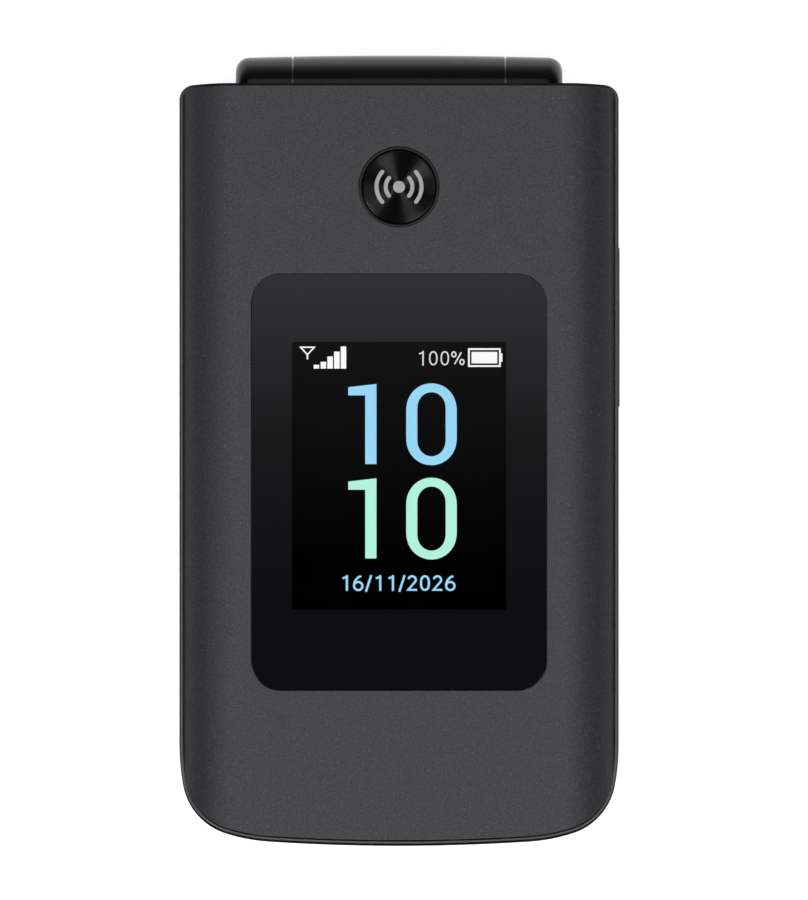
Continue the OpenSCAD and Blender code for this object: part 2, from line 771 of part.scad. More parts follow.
module volume_rocker() color(satin) {
    inner = half_w - wall - rocker_gap;
    translate([inner - fit, rocker_y, rocker_z]) rotate([90, 0, 90])
        linear_extrude(half_w + rocker_proud - inner + fit) polygon(round_rect(rocker_l, rocker_h, 1.4));
    translate([inner - 0.4, rocker_y, rocker_z]) rotate([90, 0, 90])
        linear_extrude(0.4) polygon(round_rect(rocker_l - 0.4, rocker_h + 2 * rocker_flange, 1.4));
}

// ---- hinge ----------------------------------------------------------------------------

module hinge_shaft() color(steel) {
    hinge_rod(shaft_r, -ear_in - 0.5, shaft_end_x);
    on_hinge() translate([0, 0, -ear_out + 1])
        cylinder(r = shaft_head_r, h = ear_out - 1 - ear_in - 0.2, $fn = 6);
}

module hinge_cam() color(steel) {
    difference() {
        union() {
            hinge_rod(drum_r, cam_x, cam_x + cam_l);
            // Two lobes that the follower rides on
            intersection() {
                hinge_rod(drum_r, cam_x + cam_l - fit, cam_x + cam_l + lobe_h);
                on_hinge() for (turn = [0, 180]) rotate([0, 0, turn + 20])
                    translate([0, 0, cam_x]) linear_extrude(cam_l + over)
                        polygon([[0, 0], [4, -2.6], [5, 0], [4, 2.6]]);
            }
        }
        hinge_rod(shaft_r + fit, cam_x - over, cam_x + cam_l + over);
    }
}

module hinge_follower() color(steel) {
    difference() {
        hinge_rod(drum_r, follower_x, follower_x + follower_l);
        hinge_rod(shaft_r + run_gap, follower_x - over, follower_x + follower_l + over);
        // Seat of the spring
        hinge_rod(drum_r - 0.5, follower_x + follower_l - 0.3, follower_x + follower_l + over);
    }
}

module hinge_cartridge() color(steel) {
    difference() {
        hinge_rod(cartridge_r, cartridge_x, cartridge_x + cartridge_l);
        hinge_rod(cartridge_in, cartridge_x - over, cartridge_x + cartridge_l - cartridge_end_t);
        hinge_rod(shaft_r + run_gap, cartridge_x, cartridge_x + cartridge_l + over);
    }
}

// Wire wound along the hinge axis, as rings of points joined to a tube
module hinge_spring() color(steel) {
    sides = 6;
    per_turn = 14;
    rings = spring_turns * per_turn;
    coil_r = cartridge_in - wire_d / 2 - 0.15;
    rise = spring_end_x - spring_x - wire_d;
    x0 = spring_x + wire_d / 2;
    points = [for (i = [0 : rings], j = [0 : sides - 1])
        let (a = 360 * i / per_turn, b = 360 * j / sides, r = coil_r + wire_d / 2 * cos(b))
        [r * cos(a), r * sin(a), x0 + rise * i / rings + wire_d / 2 * sin(b)]];
    faces = concat(
        [[for (j = [sides - 1 : -1 : 0]) j]],
        [for (i = [0 : rings - 1], j = [0 : sides - 1]) let (k = (j + 1) % sides)
            [i * sides + j, i * sides + k, (i + 1) * sides + k, (i + 1) * sides + j]],
        [[for (j = [0 : sides - 1]) rings * sides + j]]);
    on_hinge() polyhedron(points, [for (f = faces) [for (j = [len(f) - 1 : -1 : 0]) f[j]]]);
}

module flex_bush() color(black) {
    difference() {
        hinge_rod(cartridge_r, bush_x, ear_out - 1);
        hinge_rod(flex_bore_r, bush_x - over, ear_out);
    }
}

// Printed flex rolled up in the bush, with a tail that leaves for the lid
module hinge_flex() color(gold) {
    turns = 2;
    inner = 0.9;
    pitch = 0.5;
    thick = 0.12;
    steps = 20;
    on_hinge() translate([0, 0, bush_x - 5]) linear_extrude(ear_out - 2 - bush_x + 5) polygon(concat(
        [for (i = [0 : steps * turns]) spiral(i / steps, inner, pitch)],
        [for (i = [steps * turns : -1 : 0]) spiral(i / steps, inner + thick, pitch)]));
}

// Point of a flat spiral after a number of turns
function spiral(turn, inner, pitch) = (inner + pitch * turn) * [cos(360 * turn), sin(360 * turn)];

// ---- lid ------------------------------------------------------------------------------

module lid_frame() color(satin) {
    difference() {
        union() {
            difference() {
                soft_slab(lid_top_y, lid_z, rim_z);
                slab(cover_plan(rim_w - cover_inset), seat_z, rim_z + over);
                slab(room(wall, room_end_y), lid_z - over, seat_z + over);
            }
            slab(room(wall / 2, room_end_y + wall / 2), web_z, web_z + web_t);
            for (at = lid_screw_at) post(boss_r, at, main_z, web_z + fit);
            barrel_stretch(0, centre_half, 0);
            mirror([1, 0, 0]) barrel_stretch(0, centre_half, 0);
        }
        // The ears of the base turn here
        hinge_rod(swing_r, centre_half, ear_out + swing_gap);
        hinge_rod(swing_r, -ear_out - swing_gap, -centre_half);
        // Bores for the cartridge and the bush, and the way of the flex into the lid
        hinge_rod(cartridge_r + fit, -centre_half - over, cartridge_x + cartridge_l + fit);
        hinge_rod(shaft_r + 0.2, -centre_half, shaft_end_x + 0.3);
        hinge_rod(cartridge_r + run_gap, bush_x - 0.3, centre_half + over);
        hinge_rod(flex_bore_r, bush_x - 5.3, centre_half);
        translate([bush_x - 5.3, room_end_y - over, web_z - 0.6])
            cube([4.6, barrel_r + over + 0.6, 1.1]);
        // Windows in the web for the earpiece and the boards' connectors
        block([14, 8], [0, earpiece_y], main_z, seat_z);
        pad([16, 5], 1, [0, room_end_y - 6], main_z, seat_z);
        for (at = lid_screw_at) post(screw_r + 0.05, at, lid_z, web_z + web_t - 0.1);
    }
}

// Outline of the lid cover, set in from its own edge. The frame's rim keeps an even groove to it
function cover_plan(inset) = [for (p = plan(cover_inset + inset, lid_top_y)) p + [0, cover_shift]];

module lid_cover() color(paint) {
    difference() {
        intersection() {
            slab(cover_plan(0), seat_z, body_h + over);
            crown(body_h, crown_r);
        }
        intersection() {
            slab(cover_plan(cover_edge_t), seat_z - over, cover_under_z);
            crown(cover_under_z, crown_r - cover_wall);
        }
        // Pocket of the lens, and the window over the display
        pad([lens_w + 4 * fit, lens_l + 4 * fit], lens_r + 2 * fit, [0, lens_y], body_h - lens_t,
            body_h + over);
        pad([front_active_w + 2.4, front_active_l + 2.8], 1, [0, front_y], seat_z, body_h);
        post(bezel_d / 2 + fit, [0, button_y], seat_z, body_h + over);
    }
    // Tongue that registers the cover inside the wall of the frame
    ring_slab(room(wall + 2 * fit, room_end_y - 1), room(wall + 2 * fit + 0.8, room_end_y - 1.8),
              seat_z - 0.7, seat_z + 0.5);
}

module lid_inner_cover() color(black) {
    difference() {
        slab(room(wall + fit, room_end_y - fit), lid_z, lid_z + inner_cover_t);
        pad([inner_lens_w + 4 * fit, inner_lens_l + 4 * fit], 4, [0, inner_lens_y], lid_z - over,
            lid_z + inner_lens_t + fit);
        pad([main_active_w + 2, main_active_l + 2], 1, [0, main_y], lid_z - over, web_z);
        pad([9, 1.5], 0.7, [0, earpiece_y], lid_z - over, web_z);
        for (at = lid_screw_at) {
            post(head_r + 0.15, at, lid_z - over, lid_z + 0.6);
            post(screw_r + 0.1, at, lid_z, web_z);
        }
        for (at = bumper_at) post(bumper_r + fit, at, lid_z - over, lid_z + 0.4);
    }
}

module front_lens() color(glass) {
    pad([lens_w, lens_l], lens_r, [0, lens_y], body_h - lens_t + fit, body_h);
}

module front_display() {
    w = front_active_w + 6;
    l = front_active_l + 9.8;
    color(steel) pad([w, l], 0.6, [0, front_y - 1.4], front_z, gasket_z - 0.5);
    color(glass) pad([w - 1, l - 4], 0.3, [0, front_y], gasket_z - 0.5 - fit, gasket_z);
}

module display_gasket() color(rubber) {
    translate([0, front_y, 0]) ring_slab(
        round_rect(front_active_w + 5, front_active_l + 5.4, 1),
        round_rect(front_active_w + 1, front_active_l + 1.4, 0.6), gasket_z, gasket_z + gasket_t);
}

module inner_lens() color(glass) {
    pad([inner_lens_w, inner_lens_l], 3.9, [0, inner_lens_y], lid_z, lid_z + inner_lens_t);
}

module main_display() {
    w = main_active_w + 6.8;
    l = main_active_l + 11.6;
    color(steel) pad([w, l], 0.6, [0, main_y - 2.6], main_z + 0.5 - fit, main_z + main_module_t);
    color(glass) pad([w - 1, l - 6], 0.3, [0, main_y], main_z, main_z + 0.5);
}

module earpiece() color(black) {
    pad([12, 5.4], 2.4, [0, earpiece_y], main_z + 0.3, lid_board_z);
}

module earpiece_mesh() color(steel) {
    difference() {
        union() {
            pad([8.9, 1.4], 0.65, [0, earpiece_y], lid_z + 0.35, main_z);
            pad([10.6, 3], 0.8, [0, earpiece_y], main_z, main_z + 0.25);
        }
        for (column = [-6 : 6], row = [-1, 1])
            translate([0.6 * column, earpiece_y + 0.3 * row, lid_z])
                cylinder(r = 0.18, h = inner_cover_t + over, $fn = 16);
    }
}

module lid_board() {
    end_y = room_end_y - 2.2;
    color(board_green)
        pad([lid_board_w, end_y - lid_board_y], 2, [0, (lid_board_y + end_y) / 2], lid_board_z,
            lid_board_z + board_t);
    color(steel) {
        // Shield over the display's driver
        pad([13, 10], 0.6, [8 - lid_board_w / 2, end_y - 10.85], lid_board_z + board_t - fit,
            lid_board_z + board_t + 1.3);
        // Dome switch of the front button
        pad([5.2, 5.2], 0.5, [0, button_y], lid_board_z + board_t - fit, switch_top_z);
    }
}

module lid_magnet() color(steel) {
    pad([6, 2.4], 0.3, magnet_at, main_z, main_z + 1.4);
}

module lid_bumpers() color(rubber) {
    for (at = bumper_at) post(bumper_r, at, field_z + fit, lid_z + 0.4 - fit);
}

module lid_screws() color(steel) {
    for (at = lid_screw_at) difference() {
        union() {
            post(head_r, at, lid_z + 0.05, lid_z + 0.6 - fit);
            post(screw_r, at, lid_z + 0.05, web_z + web_t - 0.2);
        }
        translate([at.x, at.y, lid_z - 0.5]) cylinder(r = 0.7, h = 0.85, $fn = 6);
    }
}

module button_bezel() color(black) {
    translate([0, button_y, 0]) rotate_extrude($fn = 96) polygon([
        [bezel_bore_r, bezel_flange_z], [bezel_r + 0.9, bezel_flange_z],
        [bezel_r + 0.9, cover_under_z - fit], [bezel_r, cover_under_z - fit],
        [bezel_r, body_h], [bezel_r - 0.1, body_h + 0.08], [bezel_bore_r + 0.1, body_h + 0.08],
        [bezel_bore_r, body_h - 0.05]]);
}

module quick_call_button() color(black) {
    dish_steps = 4;
    rim = cap_r - 0.25;
    top_z = body_h - 0.02;
    translate([0, button_y, 0]) rotate_extrude($fn = 96) polygon(concat(
        [[0, button_flange_z], [bezel_r + 0.4, button_flange_z],
         [bezel_r + 0.4, button_flange_z + button_flange_t], [cap_r, button_flange_z + button_flange_t],
         [cap_r, top_z - 0.15]],
        [for (i = [0 : dish_steps]) let (r = rim * (1 - i / dish_steps))
            [r, top_z - button_dish * (1 - (r / rim) * (r / rim))]]));
}

// ---- keys -----------------------------------------------------------------------------

// Key with a retaining flange under the face plate and a top arched across its width
module key_cap(at, size) {
    pad(size + 2 * [key_flange, key_flange], key_r, at, flange_z, flange_z + flange_t);
    intersection() {
        pad(size, key_r, at, flange_z, key_top + over);
        translate([at.x, at.y + size.y, key_top - key_crown_r]) rotate([90, 0, 0])
            cylinder(r = key_crown_r, h = 2 * size.y, $fn = 180);
    }
}

module number_key(column, row) color(satin) {
    key_cap(number_at(column, row), [key_w, key_l]);
}

module side_key(index, tint) color(tint) {
    key_cap(side_keys[index], [side_key_w, side_key_l]);
}

module key_1() number_key(0, 0);
module key_2() number_key(1, 0);
module key_3() number_key(2, 0);
module key_4() number_key(0, 1);
module key_5() number_key(1, 1);
module key_6() number_key(2, 1);
module key_7() number_key(0, 2);
module key_8() number_key(1, 2);
module key_9() number_key(2, 2);
module key_star() number_key(0, 3);
module key_0() number_key(1, 3);
module key_hash() number_key(2, 3);
module soft_key_left() side_key(0, satin);
module soft_key_right() side_key(1, satin);
module call_key() side_key(2, [0.1, 0.45, 0.2]);
module end_key() side_key(3, [0.55, 0.1, 0.1]);
module clear_key() color(satin) key_cap([0, clear_key_y], [key_w, clear_l]);

// Ring of the four-way key, bored for the middle key and stepped over that key's flange
module nav_ring() color(satin) {
    step_z = ring_z + 0.66;
    translate([0, nav_y, 0]) rotate_extrude($fn = 96) polygon(concat(
        [[ok_flange_r + 0.5, ring_z], [nav_r + key_flange, ring_z],
         [nav_r + key_flange, ring_z + 0.25], [nav_r, ring_z + 0.25], [nav_r, key_top - 0.25]],
        [for (i = [0 : 6]) let (s = i / 6, r = nav_r - 0.3 - s * (nav_r - 0.3 - ok_bore_r))
            [r, key_top + 0.1 - 0.35 * sin(180 * s)]],
        [[ok_bore_r, step_z], [ok_flange_r + 0.5, step_z]]));
}

// Ring under the navigation key that lets it tip about both axes
module nav_gimbal() color(steel) {
    translate([0, nav_y, mat_z + mat_t + gimbal_out_r * sin(nav_tilt) + 0.04]) rotate_extrude($fn = 96)
        translate([gimbal_in_r, 0]) square([gimbal_out_r - gimbal_in_r, 0.25]);
}

module ok_key() color(satin) {
    translate([0, nav_y, 0]) rotate_extrude($fn = 96) polygon([
        [0, flange_z], [ok_flange_r, flange_z], [ok_flange_r, flange_z + 0.25],
        [ok_r, flange_z + 0.25], [ok_r, key_top - 0.1], [ok_r - 0.25, key_top + 0.1],
        [ok_r / 2, key_top + 0.16], [0, key_top + 0.18]]);
}

rear_housing();
keypad_fascia();
main_board();
keypad_mat();
battery();
battery_contacts();
sim_holder();
usb_port();
headphone_jack();
loudspeaker();
vibration_motor();
camera_module();
camera_window();
antenna();
base_screws();
battery_cover();
volume_rocker();
hinge_shaft();
hinge_cam();
hinge_follower();
hinge_spring();
hinge_cartridge();
flex_bush();
hinge_flex();
lid_frame();
lid_cover();
lid_inner_cover();
front_lens();
front_display();
display_gasket();
inner_lens();
main_display();
earpiece();
earpiece_mesh();
lid_board();
lid_magnet();
lid_bumpers();
button_bezel();
lid_screws();
quick_call_button();
nav_gimbal();
nav_ring();
ok_key();
soft_key_left();
soft_key_right();
call_key();
end_key();
clear_key();
key_1();
key_2();
key_3();
key_4();
key_5();
key_6();
key_7();
key_8();
key_9();
key_star();
key_0();
key_hash();
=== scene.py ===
"""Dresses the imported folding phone: smooth shells, finishes, the lit outside screen and a studio.

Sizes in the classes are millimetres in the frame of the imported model, and meshes are made in metres.
"""

from __future__ import annotations

import json
import logging
import math
from collections.abc import Callable, Sequence
from dataclasses import dataclass, field
from enum import Enum

import bmesh
import bpy
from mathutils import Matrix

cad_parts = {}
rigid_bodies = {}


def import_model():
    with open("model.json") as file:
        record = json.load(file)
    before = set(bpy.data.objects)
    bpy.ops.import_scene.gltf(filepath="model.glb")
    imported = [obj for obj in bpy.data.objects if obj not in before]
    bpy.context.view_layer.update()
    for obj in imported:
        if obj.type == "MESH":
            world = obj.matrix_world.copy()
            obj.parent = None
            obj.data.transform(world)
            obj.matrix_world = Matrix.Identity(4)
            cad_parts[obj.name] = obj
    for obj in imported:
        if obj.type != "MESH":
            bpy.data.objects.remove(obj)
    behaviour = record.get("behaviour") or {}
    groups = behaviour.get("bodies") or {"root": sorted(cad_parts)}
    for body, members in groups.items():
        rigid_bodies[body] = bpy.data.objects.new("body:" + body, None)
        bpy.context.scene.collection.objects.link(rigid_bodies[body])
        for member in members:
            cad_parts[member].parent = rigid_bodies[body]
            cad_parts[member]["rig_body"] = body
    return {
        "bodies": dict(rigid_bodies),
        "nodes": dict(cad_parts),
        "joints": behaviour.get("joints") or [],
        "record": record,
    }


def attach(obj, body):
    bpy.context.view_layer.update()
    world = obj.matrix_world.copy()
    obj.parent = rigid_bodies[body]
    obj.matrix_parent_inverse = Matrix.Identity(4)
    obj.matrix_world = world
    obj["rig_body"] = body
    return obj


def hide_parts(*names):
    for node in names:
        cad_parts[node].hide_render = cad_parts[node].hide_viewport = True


LOG = logging.getLogger("folding_phone")
MM = 0.001

Socket = bpy.types.NodeSocket
Mesh = bpy.types.Mesh
Piece = bpy.types.Object
Point = tuple[float, float]
Point3 = tuple[float, float, float]
Span = tuple[float, float]
Room = tuple[float, float, float, float]
Colour = tuple[float, float, float]
MeshParts = tuple[list[Point3], list[tuple[int, ...]]]

BLACK: Colour = (0.0, 0.0, 0.0)
WHITE: Colour = (1.0, 1.0, 1.0)
WAVE_RADIANS = 20.0  # what the wave texture makes of one unit


class Body(Enum):
    """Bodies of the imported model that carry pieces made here, apart from the plain keys."""

    BASE = "base"
    LID = "lid"
    BUTTON = "quick_call_button"
    RING = "nav_ring"
    OK = "ok_key"


class Slot(Enum):
    """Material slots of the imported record."""

    PAINT = "graphite_paint"
    RIM = "satin_rim"
    BLACK = "black_plastic"
    BUTTON = "button_metal"
    BEZEL = "bezel_black"
    GLASS = "lens_glass"
    DISPLAY = "display_module"
    FOAM = "foam_rubber"
    STEEL = "steel"
    WRAP = "battery_wrap"
    FLEX = "flex_copper"
    KEY = "key_plastic"
    CALL = "call_green"
    END = "end_red"


# ---- node trees and finishes ----------------------------------------------------------------


class NodeTree:
    """A tree of nodes that is built in code."""

    def __init__(self, tree: bpy.types.NodeTree) -> None:
        """Takes a tree and clears it.

        Args:
            tree: the tree of a material, of the world or of a modifier.
        """
        self.tree = tree
        tree.nodes.clear()

    def add(self, kind: str, settings: dict[str, object] | None = None, **sockets: object) -> bpy.types.Node:
        """Adds a node.

        Args:
            kind: the node's type.
            settings: the node's own properties by name.
            **sockets: values or outputs for its inputs, with underscores for spaces.

        Returns:
            The new node.
        """
        node = self.tree.nodes.new(kind)
        for key, value in (settings or {}).items():
            setattr(node, key, value)
        self.fill(node, sockets)
        return node

    def fill(self, node: bpy.types.Node, sockets: dict[str, object]) -> None:
        """Feeds several inputs of a node, named with underscores for spaces."""
        for key, value in sockets.items():
            self.feed(node.inputs[key.replace("_", " ")], value)

    def feed(self, socket: Socket, value: object) -> None:
        """Links an output to an input, or sets the input's value."""
        if isinstance(value, Socket):
            self.tree.links.new(value, socket)
        else:
            socket.default_value = value

    def math(self, operation: str, a: object, b: object) -> Socket:
        """Adds a calculation on two values and gives its output."""
        node = self.add("ShaderNodeMath", {"operation": operation})
        for socket, value in zip(node.inputs, (a, b)):
            self.feed(socket, value)
        return node.outputs[0]

    def part(self, vector: Socket, axis: str) -> Socket:
        """Gives a vector's part along X, Y or Z."""
        return self.add("ShaderNodeSeparateXYZ", Vector=vector).outputs[axis]

    def ramp(self, factor: Socket, stops: Sequence[tuple[float, Colour]]) -> Socket:
        """Turns a factor into a colour.

        Args:
            factor: the output that holds the factor.
            stops: positions and colours.

        Returns:
            The output that holds the colour.
        """
        node = self.add("ShaderNodeValToRGB", Fac=factor)
        elements = node.color_ramp.elements
        while len(elements) < len(stops):
            elements.new(0.5)
        for element, (position, colour) in zip(elements, stops):
            element.position = position
            element.color = (*colour, 1.0)
        return node.outputs["Color"]

    def span(self, factor: Socket, low: float, high: float, start: float = 0.0, end: float = 1.0) -> Socket:
        """Spreads a factor over another range.

        Args:
            factor: the output that holds the factor.
            low: value at the factor's start.
            high: value at its end.
            start: where the factor starts.
            end: where the factor ends.

        Returns:
            The output that holds the value.
        """
        return self.add("ShaderNodeMapRange", Value=factor, From_Min=start, From_Max=end, To_Min=low,
                        To_Max=high).outputs["Result"]


class ShaderTree(NodeTree):
    """A material with one main shader, to which a finish adds its own nodes."""

    def __init__(self, name: str) -> None:
        """Starts the material.

        Args:
            name: the material's name.
        """
        self.material = bpy.data.materials.new(name)
        self.material.use_nodes = True
        super().__init__(self.material.node_tree)
        self.surface = self.add("ShaderNodeBsdfPrincipled")
        self.add("ShaderNodeOutputMaterial", Surface=self.surface.outputs["BSDF"])

    def set(self, **sockets: object) -> None:
        """Feeds inputs of the main shader, named with underscores for spaces."""
        self.fill(self.surface, sockets)

    def place(self, centre: Point3 = (0, 0, 0), stretch: Point3 = (1, 1, 1)) -> Socket:
        """Gives the point on the surface, centred and stretched.

        Args:
            centre: the pattern's middle, in millimetres.
            stretch: the pattern's density along each axis.

        Returns:
            The output that holds the point.
        """
        coords = self.add("ShaderNodeTexCoord").outputs["Object"]
        moved = [-c * MM * s for c, s in zip(centre, stretch)]
        return self.add("ShaderNodeMapping", Vector=coords, Location=moved, Scale=stretch).outputs["Vector"]

    def noise(self, where: Socket, grain: float, detail: float = 2.0) -> Socket:
        """Gives a noise pattern.

        Args:
            where: the output that holds the point.
            grain: size of its grains in millimetres.
            detail: number of finer layers.

        Returns:
            The output that holds a factor from 0 to 1.
        """
        return self.add("ShaderNodeTexNoise", Vector=where, Scale=1 / (grain * MM), Detail=detail,
                        Roughness=0.6).outputs["Fac"]

    def share_along(self, where: Socket, near_y: float, far_y: float) -> Socket:
        """Gives a factor from 0 at one place along the phone to 1 at another, in millimetres."""
        return self.span(self.part(where, "Y"), 0.0, 1.0, near_y * MM, far_y * MM)

    def relief(self, height: Socket, strength: float, depth: float) -> None:
        """Turns a factor into a fine relief of the surface.

        Args:
            height: the output that holds the factor.
            strength: share of the effect, from 0 to 1.
            depth: depth of the relief in millimetres.
        """
        bump = self.add("ShaderNodeBump", Strength=strength, Distance=depth * MM, Height=height)
        self.set(Normal=bump.outputs["Normal"])


def tinted(colour: Colour, share: float) -> Colour:
    """Gives a lighter or darker shade of a colour."""
    return tuple(min(1.0, c * share) for c in colour)


@dataclass(frozen=True)
class Finish:
    """A finish that is built once and shared. Sizes of its patterns are millimetres."""

    name: str

    def material(self) -> bpy.types.Material:
        """Gives the finish's material, built at its first use."""
        made = bpy.data.materials.get(self.name)
        if made is None:
            shader = ShaderTree(self.name)
            self.build(shader)
            made = shader.material
        return made

    def build(self, shader: ShaderTree) -> None:
        """Adds the finish's own nodes to its tree."""
        raise NotImplementedError


@dataclass(frozen=True)
class FleckedPaint(Finish):
    """Satin paint with a metallic fleck."""

    dark: Colour = (0.01, 0.011, 0.0133)
    light: Colour = (0.031, 0.033, 0.0373)
    fleck: Colour = (0.078, 0.081, 0.086)
    roughness: float = 0.52
    specular: float = 0.28
    mottle_size: float = 0.26
    flake_size: float = 0.3
    wear_size: float = 2.4
    wear: float = 0.05
    spray_size: float = 0.12
    spray_depth: float = 0.012

    def build(self, shader: ShaderTree) -> None:
        """Adds the mottled colour, the flecks and the fine texture of sprayed paint."""
        where = shader.place()
        ground = shader.ramp(shader.noise(where, self.mottle_size, 4), [(0.3, self.dark), (0.7, self.light)])
        cells = shader.add("ShaderNodeTexVoronoi", Vector=where, Scale=1 / (self.flake_size * MM),
                           Randomness=1.0)
        chance = shader.add("ShaderNodeSeparateColor", Color=cells.outputs["Color"]).outputs["Red"]
        spot = shader.ramp(cells.outputs["Distance"], [(0.16, WHITE), (0.3, BLACK)])
        picked = shader.ramp(chance, [(0.55, BLACK), (1.0, tinted(WHITE, 0.8))])
        flecked = shader.add("ShaderNodeMixRGB", Fac=shader.math("MULTIPLY", spot, picked), Color1=ground,
                             Color2=(*self.fleck, 1.0))
        worn = shader.span(shader.noise(where, self.wear_size, 3), self.roughness - self.wear,
                           self.roughness + self.wear)
        shader.set(Specular_IOR_Level=self.specular, Base_Color=flecked.outputs["Color"], Roughness=worn)
        shader.relief(shader.noise(where, self.spray_size), strength=0.12, depth=self.spray_depth)


@dataclass(frozen=True)
class Moulding(Finish):
    """Moulded plastic, rubber or foam, from gloss to matt, with its own grain."""

    colour: Colour
    roughness: float
    grain: float = 0.3
    relief: float = 0.1
    mottle: float = 0.12
    specular: float = 0.5
    grain_depth: float = 0.02
    uneven: float = 0.15  # share by which the gloss varies

    def build(self, shader: ShaderTree) -> None:
        """Adds a slight mottle, uneven gloss and the grain of the mould."""
        where = shader.place()
        shades = [(0.25, tinted(self.colour, 1 - self.mottle)), (0.75, tinted(self.colour, 1 + self.mottle))]
        gloss = shader.span(shader.noise(where, 3 * self.grain, 4), (1 - self.uneven) * self.roughness,
                            (1 + self.uneven) * self.roughness)
        shader.set(Specular_IOR_Level=self.specular, Roughness=gloss,
                   Base_Color=shader.ramp(shader.noise(where, 8 * self.grain, 3), shades))
        shader.relief(shader.noise(where, self.grain, 3), strength=self.relief, depth=self.grain_depth)


@dataclass(frozen=True)
class Metal(Finish):
    """Sheet or turned metal with fine scratches along one axis."""

    colour: Colour = (0.62, 0.62, 0.64)
    roughness: float = 0.3
    stretch: Point3 = (1, 0.05, 1)
    uneven: Span = (-0.08, 0.1)  # by how much the roughness varies
    scratch_size: float = 0.08
    scratch_depth: float = 0.006
    stain_size: float = 2.2

    def build(self, shader: ShaderTree) -> None:
        """Adds the drawn grain and a light tarnish."""
        drawn = shader.noise(shader.place(stretch=self.stretch), self.scratch_size, 4)
        stain = shader.noise(shader.place(), self.stain_size, 3)
        shades = [(0.2, tinted(self.colour, 0.8)), (0.8, self.colour)]
        shader.set(Metallic=1.0, Base_Color=shader.ramp(stain, shades),
                   Roughness=shader.span(drawn, *(self.roughness + more for more in self.uneven)))
        shader.relief(drawn, strength=0.15, depth=self.scratch_depth)


@dataclass(frozen=True)
class SpunCap(Finish):
    """Black cap turned on a lathe, whose fine rings spread the light into two fans."""

    centre: Point3
    ring_radian: float = 0.045  # width of one radian of the rings
    ring_depth: float = 0.002
    gloss: Span = (0.22, 0.24)
    valley: Colour = (0.0008, 0.0008, 0.0009)
    crest: Colour = (0.0016, 0.0016, 0.0017)

    def build(self, shader: ShaderTree) -> None:
        """Adds the turned rings and the direction in which they stretch the gloss."""
        tangent = shader.add("ShaderNodeTangent", {"direction_type": "RADIAL", "axis": "Z"})
        wave = shader.add("ShaderNodeTexWave", {"wave_type": "RINGS", "rings_direction": "Z"},
                          Vector=shader.place(centre=self.centre), Distortion=0.6, Detail=2.0,
                          Scale=1 / (WAVE_RADIANS * self.ring_radian * MM))
        rings = wave.outputs["Fac"]
        shader.set(Anisotropic=1.0, Anisotropic_Rotation=0.25, Specular_IOR_Level=0.08,
                   Tangent=tangent.outputs["Tangent"],
                   Base_Color=shader.ramp(rings, [(0.0, self.valley), (1.0, self.crest)]),
                   Roughness=shader.span(rings, *self.gloss))
        shader.relief(rings, strength=0.01, depth=self.ring_depth)


@dataclass(frozen=True)
class GlassWithPaintedReflection(Finish):
    """Glass with a dark print behind it, and a painted reflection that lightens it towards the hinge end."""

    # The print's colour at the hinge end and at the free end; their difference is a painted reflection.
    far: Colour = (0.0305, 0.0315, 0.033)
    near: Colour = (0.0036, 0.0041, 0.0045)
    near_y: float = -20.5
    far_y: float = 24.0
    middle: float = 0.262  # what the middle has of both ends' sum
    gloss: Span = (0.035, 0.065)
    dust_size: float = 0.9
    dust_depth: float = 0.002

    def build(self, shader: ShaderTree) -> None:
        """Adds the print and its painted reflection, lighter towards the hinge end, with a faint dust in the
        gloss.
        """
        where = shader.place()
        share = shader.share_along(where, self.near_y, self.far_y)
        middle = tuple((a + b) * self.middle for a, b in zip(self.far, self.near))
        dust = shader.noise(where, self.dust_size, 5)
        # The ramp along the phone paints the reflection onto the print's colour.
        shader.set(Base_Color=shader.ramp(share, [(0.0, self.near), (0.5, middle), (1.0, self.far)]),
                   Roughness=shader.span(dust, *self.gloss))
        shader.relief(dust, strength=0.02, depth=self.dust_depth)


@dataclass(frozen=True)
class ClearGlass(Finish):
    """Clear pane over the lit screen."""

    haze_size: float = 1.5
    gloss: Span = (0.0, 0.02)

    def build(self, shader: ShaderTree) -> None:
        """Makes the shader clear, with the faintest haze in its gloss."""
        haze = shader.noise(shader.place(), self.haze_size, 3)
        shader.set(Base_Color=(*WHITE, 1), Transmission_Weight=1.0, IOR=1.3,
                   Roughness=shader.span(haze, *self.gloss))


@dataclass(frozen=True)
class DarkScreen(Finish):
    """Face of the display, black, with a faint glow that grows towards the hinge end."""

    far_y: float = 14.2
    near_y: float = -20.8
    glow: Colour = (0.0068, 0.0068, 0.0069)
    gloss: Span = (0.35, 0.5)
    dot_size: float = 0.12
    between: Colour = (0.0005, 0.0005, 0.0006)
    dot: Colour = (0.001, 0.001, 0.0011)

    def build(self, shader: ShaderTree) -> None:
        """Adds the glow and the grid of the picture's dots."""
        where = shader.place()
        share = shader.share_along(where, self.near_y, self.far_y)
        dots = shader.noise(where, self.dot_size, 1)
        shader.set(Emission_Strength=1.0, Specular_IOR_Level=0.0,
                   Emission_Color=shader.ramp(share, [(0.2, BLACK), (1.0, self.glow)]),
                   Base_Color=shader.ramp(dots, [(0.3, self.between), (0.7, self.dot)]),
                   Roughness=shader.span(dots, *self.gloss))


@dataclass(frozen=True)
class Lit(Finish):
    """Lit part of the screen's picture."""

    colour: Colour
    strength: float = 1.06
    dot_size: float = 0.2

    def build(self, shader: ShaderTree) -> None:
        """Adds the light, a touch uneven from dot to dot."""
        dots = shader.noise(shader.place(), self.dot_size, 2)
        shader.set(Base_Color=(*BLACK, 1), Emission_Strength=self.strength, Specular_IOR_Level=0.0,
                   Emission_Color=shader.ramp(dots, [(0.3, tinted(self.colour, 0.985)), (0.7, self.colour)]))


